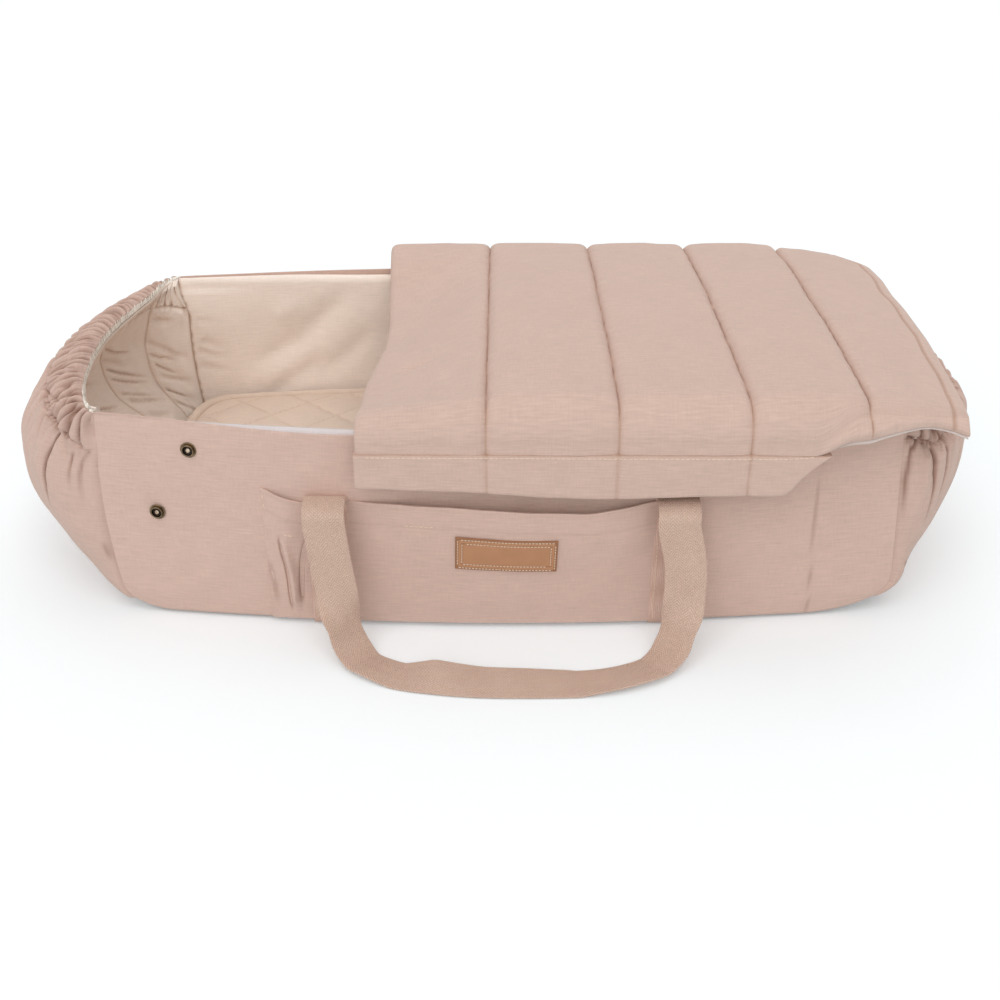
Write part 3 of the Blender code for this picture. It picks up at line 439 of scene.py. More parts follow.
@dataclass(frozen=True)
class TubForm:
    """The tub's walls as the CAD source lays them out, made smooth."""

    shift: float = 0.0
    rim_height: float = 0.162
    rim_half: float = 0.180
    base_half: float = 0.178
    rim_bow: float = 0.0275
    base_bow: float = 0.020
    rim_corner: float = 0.285
    base_corner: float = 0.279
    corner_bulge: float = 0.006
    head_bulge: float = 0.104
    foot_bulge: float = 0.087
    edge_round: float = 0.004
    under: float = 0.0019
    foot_sink: float = 0.0065
    corner_gap: float = 0.0002
    height_shares: tuple[float, ...] = (0.012, 0.185, 0.407, 0.642, 0.827, 0.951, 1.012, 1.000)
    head_shares: tuple[float, ...] = (0.23, 0.47, 0.875, 1.00, 0.885, 0.70, 0.49, 0.40)
    foot_shares: tuple[float, ...] = (0.25, 0.47, 0.81, 0.99, 1.00, 0.89, 0.725, 0.53)
    corner_shares: tuple[float, ...] = (0.012, 0.198, 0.407, 0.642, 0.827, 0.932, 0.985, 1.000)
    base_power: float = 2.45
    head_power: float = 1.6
    foot_power: float = 2.0
    floor_top: float = 0.0089
    lip_drop: float = 0.0066
    foot_splay: float = 0.0165
    head_turn: Point = (0.032, 0.024)
    foot_turn: Point = (0.066, 0.036)

    def half_width(self, z: Array) -> Array:
        """Half the tub's width at the middle of its length."""
        return mix(self.base_half, self.rim_half, z / self.rim_height)

    def bow(self, z: Array) -> Array:
        """How much further in a side wall is at its corners than at its middle."""
        return mix(self.base_bow, self.rim_bow, z / self.rim_height)

    def corner(self, z: Array) -> Array:
        """How far along the tub a side panel meets its end gusset."""
        share = z / self.rim_height
        return mix(self.base_corner, self.rim_corner, share) + self.corner_bulge * np.sin(math.pi * share)

    def face_y(self, x: Array | float, z: Array | float) -> Array:
        """How far out a side wall's face is."""
        return self.half_width(z) - self.bow(z) * (x / self.corner(z)) ** 2

    def wall(self, share: Array, z: Array, depth: Array, side: Side) -> Array:
        """Points of a side wall, at a share of its half length and a depth in from its face."""
        y = self.half_width(z) - self.bow(z) * share**2 - depth
        x = share * (self.corner(z) - self.corner_gap)
        return np.stack(np.broadcast_arrays(x, side.value * y, z + 0 * y), -1)

    def lip(self, x: Array) -> Array:
        """How far the front panel's edge lies below the rim, under the lining's lip."""
        return self.lip_drop * smooth((x + 0.27) / 0.15) * (1 - 0.8 * smooth((x - 0.20) / 0.07))

    def settled(self, points: Array) -> Array:
        """Rounds the tub's four lower corners, where the cloth turns under them."""
        x, y, z = points[..., 0], points[..., 1], points[..., 2]
        size, foot = np.abs(x), (x > 0).astype(float)
        side = smooth((np.abs(y) - 0.085) / 0.045)
        spread = self.foot_splay * foot * np.clip(1 - z / 0.125, 0, 1) ** 1.8 * smooth((size - 0.19) / 0.09)
        beyond = 1 - smooth((size - 0.288) / 0.035)
        reach = size + spread * side * beyond
        wide, high = (mix(near, far, foot) for near, far in zip(self.head_turn, self.foot_turn))
        a = np.clip((reach - self.base_corner - self.foot_splay * foot + wide) / wide, 0, 1)
        b = np.clip((high - z) / high, 0, 1)
        out = reach - a * wide * (1 - np.sqrt(1 - b**2 / 2)) * side * beyond
        up = z + high * b * (1 - np.sqrt(1 - a**2 / 2)) * side * mix(1.0, beyond, 0.7)
        flare = 0.009 * smooth((z - 0.125) / 0.035) * bell(x + 0.287, 0.032) * smooth((y - 0.09) / 0.05)
        return np.stack([np.sign(x) * out - flare, y, up], -1)

    def rising(self, run: Array) -> tuple[Array, Array]:
        """Height and inset at a run of cloth up from the lower edge's seam, round the edge."""
        arc = self.edge_round * math.pi / 2
        turn = np.clip(run / self.edge_round, 0, math.pi / 2)
        z = self.under + self.edge_round * (1 - np.cos(turn)) + np.maximum(run - arc, 0)
        return z, self.edge_round * (1 - np.sin(turn))

    def section(self, row: Array, end: End) -> tuple[Array, Array, Array]:
        """Up the middle of an end wall: its reach, its height and its corner's height."""
        bulge = end.pick(self.head_bulge, self.foot_bulge)
        reach = self.base_corner + bulge * through(end.pick(self.head_shares, self.foot_shares), row)
        height = self.rim_height * through(self.height_shares, row)
        return reach, height, self.rim_height * through(self.corner_shares, row)

    def end_wall(self, angle: Array, row: Array, depth: Array, end: End) -> Array:
        """Points of an end wall, from its front corner at -90 degrees to its back one."""
        step = 0.02
        reach, height, corner = self.section(row, end)
        above, below = self.section(row + step, end), self.section(row - step, end)
        out = np.stack([above[1] - below[1], below[0] - above[0]])
        out = out / (np.linalg.norm(out, axis=0) + 1e-12)
        lower = np.maximum(0.0, self.under + self.edge_round - corner)
        half = self.half_width(corner) - self.bow(corner) - lower - depth
        near = self.corner(corner) + self.corner_gap
        power = mix(self.base_power, end.pick(self.head_power, self.foot_power), row / TOP_ROW)
        across = np.sign(angle) * np.abs(np.sin(angle)) ** (2 / power)
        bulge = np.abs(np.cos(angle)) ** (2 / power)
        x = mix(near, reach - depth * out[0], bulge)
        z = mix(corner, height - depth * out[1], bulge)
        if end is End.FOOT:
            z = z - self.foot_sink * bulge * smooth((z / self.rim_height - 0.75) / 0.2)
        return np.stack(np.broadcast_arrays(end.value * x, half * across, z), -1)

    def even_angles(self, count: int, end: End, row: float = 6.0) -> tuple[Array, Array]:
        """Angles at even steps round an end's rim, and each one's run from the front corner."""
        fine = np.linspace(-math.pi / 2, math.pi / 2, 4001)
        line = self.end_wall(fine, np.full(fine.shape, row), np.zeros(fine.shape), end)
        run = run_of(line)
        even = np.linspace(0.0, run[-1], count)
        return np.interp(even, run, fine), even

    def down(self, end: End, low: float) -> tuple[Array, Array]:
        """Rows down the middle of an end wall, and the run of cloth at each."""
        rows = np.linspace(TOP_ROW, low, 2001)
        reach, height, _ = self.section(rows, end)
        return rows, run_of(np.stack([reach, height], -1))

    def rows_at(self, runs: Array, end: End, low: float = 0.0) -> Array:
        """Rows of an end wall at runs of cloth down its middle from the rim's inner edge."""
        rows, run = self.down(end, low)
        return np.interp(runs, run, rows)

    def drop(self, end: End, low: float = 0.0) -> float:
        """The length of an end wall down its middle."""
        return float(self.down(end, low)[1][-1])


FORM = TubForm()


# --------------------------------------------------------------------------- shader wiring


class Desk:
    """Builds the nodes of one material or world."""

    def __init__(self, name: str, kind: str = "materials") -> None:
        """Starts a material, or a world, with an empty node tree."""
        self.owner = getattr(bpy.data, kind).new(name)
        self.owner.use_nodes = True
        self.tree = self.owner.node_tree
        self.tree.nodes.clear()

    def node(
        self, kind: str, settings: Optional[dict[str, Any]] = None, values: Optional[dict[Any, Any]] = None,
    ) -> "Made":
        """Adds a node.

        Args:
            kind: The node's type.
            settings: Properties that are set first.
            values: Values or wires for its sockets, by name or number.

        Returns:
            The node, whose outputs are read by name or number.
        """
        made = self.tree.nodes.new(kind)
        for key, value in (settings or {}).items():
            setattr(made, key, value)
        for key, value in (values or {}).items():
            socket = made.inputs[key]
            if isinstance(value, Wire):
                self.tree.links.new(value.socket, socket)
            else:
                socket.default_value = value
        return Made(self, made)

    def uv(self) -> "Wire":
        """The piece's place on the cloth, in metres."""
        return self.node("ShaderNodeUVMap", {"uv_map": "cloth"}).out("UV")

    def place(self) -> "Wire":
        """Object coordinates, in metres."""
        return self.node("ShaderNodeTexCoord").out("Object")

    def hollow(self) -> "Wire":
        """Painted shade in creases, seams and gathers, and the leather label's darker edges and stitch rows."""
        return self.node("ShaderNodeAttribute", {"attribute_name": SHADE_AND_EDGE_TONE}).out("Fac")

    def parts(self, vector: "Wire") -> tuple["Wire", "Wire", "Wire"]:
        """A vector's three numbers."""
        made = self.node("ShaderNodeSeparateXYZ", None, {0: vector})
        return made.out(0), made.out(1), made.out(2)

    def vector(self, x: Any, y: Any, z: Any = 0.0) -> "Wire":
        """A vector of three numbers."""
        return self.node("ShaderNodeCombineXYZ", None, {0: x, 1: y, 2: z}).out(0)

    def noise(self, vector: "Wire", scale: float, detail: float = 2.0, rough: float = 0.5) -> "Wire":
        """Noise about 0, from -0.5 to 0.5."""
        values = {"Vector": vector, "Scale": scale, "Detail": detail, "Roughness": rough}
        return self.node("ShaderNodeTexNoise", None, values).out(0) - 0.5

    def blend(self, factor: Any, first: Any, second: Any) -> "Wire":
        """A colour between two colours."""
        made = self.node("ShaderNodeMix", {"data_type": "RGBA"}, {0: factor, 6: first, 7: second})
        return made.out(2)

    def shade(self, colour: Any, amount: "Wire") -> "Wire":
        """A colour made lighter or darker by a factor."""
        given = colour if isinstance(colour, Wire) else (*colour[:3],)
        return self.node("ShaderNodeVectorMath", {"operation": "SCALE"}, {0: given, "Scale": amount}).out(0)

    def bump(self, height: "Wire", distance: float, strength: float = 1.0) -> "Wire":
        """A normal from a height in metres times distance."""
        values = {"Height": height, "Distance": distance, "Strength": strength}
        return self.node("ShaderNodeBump", None, values).out(0)

    def finish(self, colour: Any, roughness: Any, normal: Optional["Wire"] = None, **more: Any) -> bpy.types.Material:
        """Wires the Principled shader and closes the material."""
        values: dict[Any, Any] = {"Base Color": colour, "Roughness": roughness}
        if normal is not None:
            values["Normal"] = normal
        for key, value in more.items():
            values[key.replace("_", " ").title().replace("Ior", "IOR")] = value
        shader = self.node("ShaderNodeBsdfPrincipled", None, values)
        self.node("ShaderNodeOutputMaterial", None, {"Surface": shader.out(0)})
        return self.owner


@dataclass
class Made:
    """A node with its desk."""

    desk: Desk
    node: bpy.types.Node

    def out(self, key: Any = 0) -> "Wire":
        """One of its outputs."""
        return Wire(self.desk, self.node.outputs[key])


@dataclass
class Wire:
    """A shader socket on which arithmetic adds Math nodes."""

    desk: Desk
    socket: bpy.types.NodeSocket

    def _maths(self, operation: str, *values: Any) -> "Wire":
        """A Math node of values."""
        return self.desk.node("ShaderNodeMath", {"operation": operation}, dict(enumerate(values))).out()

    def __add__(self, other: Any) -> "Wire":
        """Sum."""
        return self._maths("ADD", self, other)

    __radd__ = __add__

    def __sub__(self, other: Any) -> "Wire":
        """Difference."""
        return self._maths("SUBTRACT", self, other)

    def __rsub__(self, other: Any) -> "Wire":
        """Difference, the other way round."""
        return self._maths("SUBTRACT", other, self)

    def __mul__(self, other: Any) -> "Wire":
        """Product."""
        return self._maths("MULTIPLY", self, other)

    __rmul__ = __mul__

    def __truediv__(self, other: Any) -> "Wire":
        """Quotient."""
        return self._maths("DIVIDE", self, other)

    def sin(self) -> "Wire":
        """Sine."""
        return self._maths("SINE", self)

    def abs(self) -> "Wire":
        """Size without sign."""
        return self._maths("ABSOLUTE", self)

    def fract(self) -> "Wire":
        """What is left over a whole number."""
        return self._maths("FRACT", self)

    def capped(self) -> "Wire":
        """At most 1."""
        return self._maths("MINIMUM", self, 1.0)


def rgb(red: int, green: int, blue: int) -> Colour:
    """A display colour as the linear colour that a shader takes."""
    parts = [((c / 255 + 0.055) / 1.055) ** 2.4 for c in (red, green, blue)]
    return (*parts, 1.0)


@dataclass(frozen=True)
class WovenCloth:
    """Fine matte cloth with uneven threads.

    Attributes:
        name: The material's name.
        colour: Its colour.
        slub: How much its uneven threads show.
        thread: Width of a thread.
        creased: Painted shade: the colour that creases, seams and gathers are darkened towards.
        sheen: Weight of the fuzz.
        roughness: The cloth's roughness.
        quilt: How much soft unevenness it has.
    """

    name: str
    colour: Colour
    creased: Colour
    slub: float = 0.10
    thread: float = 0.00042
    sheen: float = 0.12
    roughness: float = 0.9
    quilt: float = 0.0

    def make(self) -> bpy.types.Material:
        """Builds the material."""
        desk = Desk(self.name)
        u, v, _ = desk.parts(desk.uv())
        across = desk.noise(desk.vector(u * 62.0, v * 820.0), 1.0, 4.0, 0.6)
        upward = desk.noise(desk.vector(u * 900.0, v * 95.0, 7.0), 1.0, 3.0, 0.6)
        cloudy = desk.noise(desk.vector(u, v, 3.0), 22.0, 3.0)
        wave = math.pi / self.thread
        weft, warp = (v * wave).sin(), (u * wave).sin()
        weave = weft * warp * 0.5 + weft * 0.25 + warp * 0.25
        tone = 1.0 + across * self.slub * 3.6 + upward * self.slub * 1.7 + cloudy * 0.07 + weave * 0.018
        hollow = desk.hollow()
        # Painted shade: the cloth darkens towards its crease colour where the attribute marks creases and seams.
        base = desk.blend(hollow, self.colour, self.creased)
        colour = desk.shade(base, tone)
        height = weave * 0.5 + across * 2.2 + upward * 1.4
        if self.quilt:
            height = height + desk.noise(desk.vector(u, v, 1.0), 130.0, 3.0) * self.quilt
        normal = desk.bump(height, 0.00013)
        return desk.finish(colour, self.roughness, normal, sheen_weight=self.sheen, sheen_roughness=0.5)


@dataclass(frozen=True)
class TwillWebbing:
    """Strap webbing with a herringbone twill, whose u runs across the strap."""

    name: str = "strap_webbing"
    colour: Colour = rgb(232, 206, 188)
    deep: Colour = rgb(188, 154, 136)
    pitch: float = 0.0023
    column: float = 0.0050

    def make(self) -> bpy.types.Material:
        """Builds the material."""
        desk = Desk(self.name)
        u, v, _ = desk.parts(desk.uv())
        zigzag = ((u / self.column + 40.0) * 0.5).fract() - 0.5
        slant = zigzag.abs() * 2.0 * self.column
        line = ((slant * 1.1 + v) * (FULL_TURN / self.pitch)).sin() * 0.5 + 0.5
        ticks = (u * (FULL_TURN / 0.0013)).sin() * 0.5 + 0.5
        rows = (v * (FULL_TURN / 0.0017)).sin() * 0.5 + 0.5
        weave = line * (ticks * 0.45 + 0.35) + rows * ticks * 0.2
        uneven = desk.noise(desk.vector(u * 500.0, v * 350.0), 1.0, 3.0)
        cloudy = desk.noise(desk.vector(u, v), 40.0, 2.0)
        shade = weave * 0.75 + 0.12 + uneven * 0.5 + cloudy * 0.3
        base = desk.blend(shade, self.deep, self.colour)
        normal = desk.bump(weave + uneven * 0.5, 0.0005)
        return desk.finish(base, 0.85, normal, sheen_weight=0.1, sheen_roughness=0.5)


@dataclass(frozen=True)
class TannedLeather:
    """Smooth vegetable-tanned leather with a fine grain and burnished edges."""

    name: str = "label_leather"
    colour: Colour = rgb(181, 132, 97)
    edge: Colour = rgb(138, 94, 64)

    def make(self) -> bpy.types.Material:
        """Builds the material."""
        desk = Desk(self.name)
        u, v, _ = desk.parts(desk.uv())
        vector = desk.vector(u, v)
        values = {"Vector": vector, "Scale": 1500.0}
        grain = desk.node("ShaderNodeTexVoronoi", {"feature": "DISTANCE_TO_EDGE"}, values).out(0)
        cloud = desk.noise(vector, 90.0, 4.0)
        fine = desk.noise(vector, 900.0, 3.0)
        # The label turns towards its edge colour at its rounded edges and along its pressed stitch rows.
        base = desk.blend(desk.hollow(), self.colour, self.edge)
        tone = 1.0 + cloud * 0.22 + fine * 0.16
        colour = desk.shade(base, tone)
        normal = desk.bump(grain * 0.8 + fine * 0.5, 0.00012)
        return desk.finish(colour, 0.58 + fine * 0.2, normal, specular_ior_level=0.35)


@dataclass(frozen=True)
class AgedBrass:
    """Dark antique brass, brighter where it is rubbed."""

    name: str = "aged_brass"
    dark: Colour = rgb(74, 62, 50)
    bright: Colour = rgb(158, 136, 108)

    def make(self) -> bpy.types.Material:
        """Builds the material."""
        desk = Desk(self.name)
        place = desk.place()
        spots = desk.noise(place, 900.0, 3.0)
        worn = desk.noise(place, 260.0, 2.0)
        colour = desk.blend((worn * 1.6 + 0.42), self.dark, self.bright)
        normal = desk.bump(spots, 0.00006)
        return desk.finish(colour, 0.34 + spots * 0.25, normal, metallic=1.0)


@dataclass(frozen=True)
class SewingThread:
    """Twisted thread."""

    name: str
    colour: Colour

    def make(self) -> bpy.types.Material:
        """Builds the material."""
        desk = Desk(self.name)
        place = desk.place()
        twist = desk.noise(place, 2600.0, 1.0)
        tone = 1.0 + twist * 0.25
        colour = desk.shade(self.colour, tone)
        return desk.finish(colour, 0.7, desk.bump(twist, 0.00005), sheen_weight=0.1)


@dataclass(frozen=True)
class PressedBoard:
    """Brown fibreboard with short fibres."""

    name: str = "pressed_board"
    colour: Colour = rgb(176, 152, 124)

    def make(self) -> bpy.types.Material:
        """Builds the material."""
        desk = Desk(self.name)
        place = desk.place()
        fibres = desk.noise(place, 420.0, 5.0, 0.7)
        cloud = desk.noise(place, 30.0, 2.0)
        colour = desk.shade(self.colour, 1.0 + fibres * 0.35 + cloud * 0.1)
        return desk.finish(colour, 0.85, desk.bump(fibres, 0.0002))


@dataclass(frozen=True)
class OpenFoam:
    """Pale foam with fine cells."""

    name: str = "mattress_foam_cells"
    colour: Colour = rgb(236, 231, 218)

    def make(self) -> bpy.types.Material:
        """Builds the material."""
        desk = Desk(self.name)
        place = desk.place()
        cells = desk.node("ShaderNodeTexVoronoi", None, {"Vector": place, "Scale": 900.0}).out(0)
        colour = desk.shade(self.colour, 1.04 - cells * 0.22)
        return desk.finish(colour, 0.95, desk.bump(1.0 - cells, 0.0003))


@dataclass(frozen=True)
class TapePile:
    """Fuzzy loops or stiff hooks of a closing tape."""

    name: str
    colour: Colour
    scale: float

    def make(self) -> bpy.types.Material:
        """Builds the material."""
        desk = Desk(self.name)
        u, v, _ = desk.parts(desk.uv())
        pile = desk.node("ShaderNodeTexVoronoi", None, {"Vector": desk.vector(u, v), "Scale": self.scale}).out(0)
        fuzz = desk.noise(desk.vector(u, v), 1800.0, 3.0)
        colour = desk.shade(self.colour, 1.1 - pile * 0.4 + fuzz * 0.2)
        return desk.finish(colour, 0.95, desk.bump(1.0 - pile + fuzz, 0.0005))


@dataclass
class Finishes:
    """Every material of the carrycot, made once."""

    made: dict[str, bpy.types.Material] = field(default_factory=dict)

    def __post_init__(self) -> None:
        """Makes the materials."""
        # The second colour of each cloth is painted shade for its creases and seams.
        rose, rose_crease_shade = rgb(209, 179, 165), rgb(138, 101, 84)
        cream, cream_crease_shade = rgb(247, 231, 218), rgb(188, 150, 120)
        kinds = [
            WovenCloth("rose_cotton_cloth", rose, rose_crease_shade),
            # Painted shade: the cover is a copy of the rose cloth, toned a little darker against the light that falls
            # on its top.
            WovenCloth("cover_cotton_cloth", rgb(206, 178, 164), rgb(166, 125, 100), quilt=0.5),
            WovenCloth("cream_lining_cloth", cream, cream_crease_shade, slub=0.07, sheen=0.2, roughness=0.78, quilt=0.6),
            WovenCloth("mattress_quilting", rgb(227, 205, 187), rgb(191, 156, 129), slub=0.07, quilt=0.8),
            WovenCloth("cream_frill", rgb(250, 243, 232), rgb(176, 150, 132), slub=0.06, quilt=0.6),
            # Painted shade: the front lining's rolled lip is a greyer, darker copy of the cream lining cloth.
            WovenCloth("lip_cloth", rgb(214, 205, 204), rgb(180, 165, 158), slub=0.06, quilt=0.4),
            WovenCloth("pale_underside", rgb(214, 202, 196), rgb(180, 165, 158), slub=0.06),
            TwillWebbing(),
            # Painted light: the straps sewn on the walls are a lighter copy of the webbing, to make up for the
            # handles' shadow on them.
            TwillWebbing("sewn_webbing", rgb(236, 204, 188), rgb(200, 164, 147), 0.03, 0.0021),
            TannedLeather(),
            AgedBrass(),
            AgedBrass("blackened_brass", rgb(38, 32, 28), rgb(72, 62, 52)),
            AgedBrass("rubbed_post", rgb(188, 170, 150), rgb(232, 216, 196)),
            SewingThread("rose_thread", rgb(226, 198, 181)),
            SewingThread("cream_thread", rgb(236, 214, 190)),
            SewingThread("tan_thread", rgb(206, 162, 128)),
            PressedBoard(),
            OpenFoam(),
            TapePile("loop_pile", rgb(206, 184, 170), 1500.0),
            TapePile("hook_pile", rgb(198, 174, 160), 900.0),
        ]
        for kind in kinds:
            self.made[kind.name] = kind.make()

    def __getitem__(self, name: str) -> bpy.types.Material:
        """A material by its name."""
        return self.made[name]


# --------------------------------------------------------------------------- stitches


@dataclass
class StitchRows:
    """Rows of sewn stitches that lie on the cloth, made by Geometry Nodes.

    Attributes:
        name: The piece's name.
        material: The thread.
        stitch: Length of a stitch.
        gap: Space between two stitches.
        thread: The thread's radius.
    """

    name: str
    material: bpy.types.Material
    stitch: float = 0.0026
    gap: float = 0.0009
    thread: float = 0.00026
    points: list[Array] = field(default_factory=list)
    lifts: list[Array] = field(default_factory=list)

    def add(self, line: Array, lift: Array) -> None:
        """Adds a row along a line of points, with the cloth's normal at each."""
        run = run_of(line)
        pace = self.stitch + self.gap
        count = int((run[-1] - self.gap) / pace)
        if count < 1:
            return
        centres = self.gap + self.stitch / 2 + pace * np.arange(count)
        ends = [read_at(centres + turn * self.stitch / 2, run, line) for turn in (-1, 1)]
        self.points.append(np.stack(ends, 1))
        self.lifts.append(read_at(centres, run, lift))

    def tree(self) -> bpy.types.NodeTree:
        """The node tree: a short bent thread with closed ends on each edge of the mesh."""
        tree = bpy.data.node_groups.new(f"{self.name}_tree", "GeometryNodeTree")
        tree.is_modifier = True
        for name, way, kind in (
            ("Geometry", "INPUT", "Geometry"), ("Thread Radius", "INPUT", "Float"),
            ("Thread", "INPUT", "Material"), ("Geometry", "OUTPUT", "Geometry"),
        ):
            tree.interface.new_socket(name, in_out=way, socket_type=f"NodeSocket{kind}")
        given, result, curve, ring, tube, paint = (tree.nodes.new(kind) for kind in (
            "NodeGroupInput", "NodeGroupOutput", "GeometryNodeMeshToCurve",
            "GeometryNodeCurvePrimitiveCircle", "GeometryNodeCurveToMesh", "GeometryNodeSetMaterial",
        ))
        ring.inputs["Resolution"].default_value = 5
        tube.inputs["Fill Caps"].default_value = True
        for start, output, end, socket in (
            (given, 0, curve, 0), (given, 1, ring, "Radius"), (curve, 0, tube, "Curve"),
            (ring, 0, tube, "Profile Curve"), (tube, 0, paint, "Geometry"),
            (given, 2, paint, "Material"), (paint, 0, result, 0),
        ):
            tree.links.new(start.outputs[output], end.inputs[socket])
        return tree

    def make(self) -> bpy.types.Object:
        """Builds one mesh of all rows."""
        ends, lifts = np.concatenate(self.points), np.concatenate(self.lifts)
        rise = (0.0, 0.75, 1.0, 0.75, 0.0)
        path = [
            mix(ends[:, 0], ends[:, 1], t) + lifts * self.thread * (r * 1.5 - 0.45)
            for t, r in zip(np.linspace(0, 1, len(rise)), rise)
        ]
        points = np.stack(path, 1).reshape(-1, 3) + np.array([FORM.shift, 0.0, 0.0])
        first = np.arange(len(ends)) * len(rise)
        edges = np.concatenate([np.stack([first + k, first + k + 1], -1) for k in range(len(rise) - 1)])
        mesh = bpy.data.meshes.new(f"{self.name}_lines")
        mesh.from_pydata(points.tolist(), edges.tolist(), [])
        lines = linked(f"{self.name}_lines", mesh)
        modifier = lines.modifiers.new("stitches", "NODES")
        modifier.node_group = self.tree()
        inputs = [s for s in modifier.node_group.interface.items_tree if s.in_out == "INPUT"]
        modifier[inputs[1].identifier] = self.thread
        modifier[inputs[2].identifier] = self.material
        graph = bpy.context.evaluated_depsgraph_get()
        done = bpy.data.meshes.new_from_object(lines.evaluated_get(graph))
        bpy.data.objects.remove(lines)
        done.name = self.name
        done.shade_smooth()
        return linked(self.name, done)


def on_grid(points: Array, normals: Array, path_u: Array, path_v: Array, lift: float) -> tuple[Array, Array]:
    """Points and normals along a path of grid indices, which may be fractions."""
    def sample(field_: Array) -> Array:
        """Reads a grid between its points."""
        u = np.clip(path_u, 0, field_.shape[0] - 1.001)
        v = np.clip(path_v, 0, field_.shape[1] - 1.001)
        i, j = np.floor(u).astype(int), np.floor(v).astype(int)
        s, t = (u - i)[:, None], (v - j)[:, None]
        top = mix(field_[i, j], field_[i + 1, j], s)
        low = mix(field_[i, j + 1], field_[i + 1, j + 1], s)
        return mix(top, low, t)

    normal = sample(normals)
    return sample(points) + normal * lift, normal


# --------------------------------------------------------------------------- the tub's outside


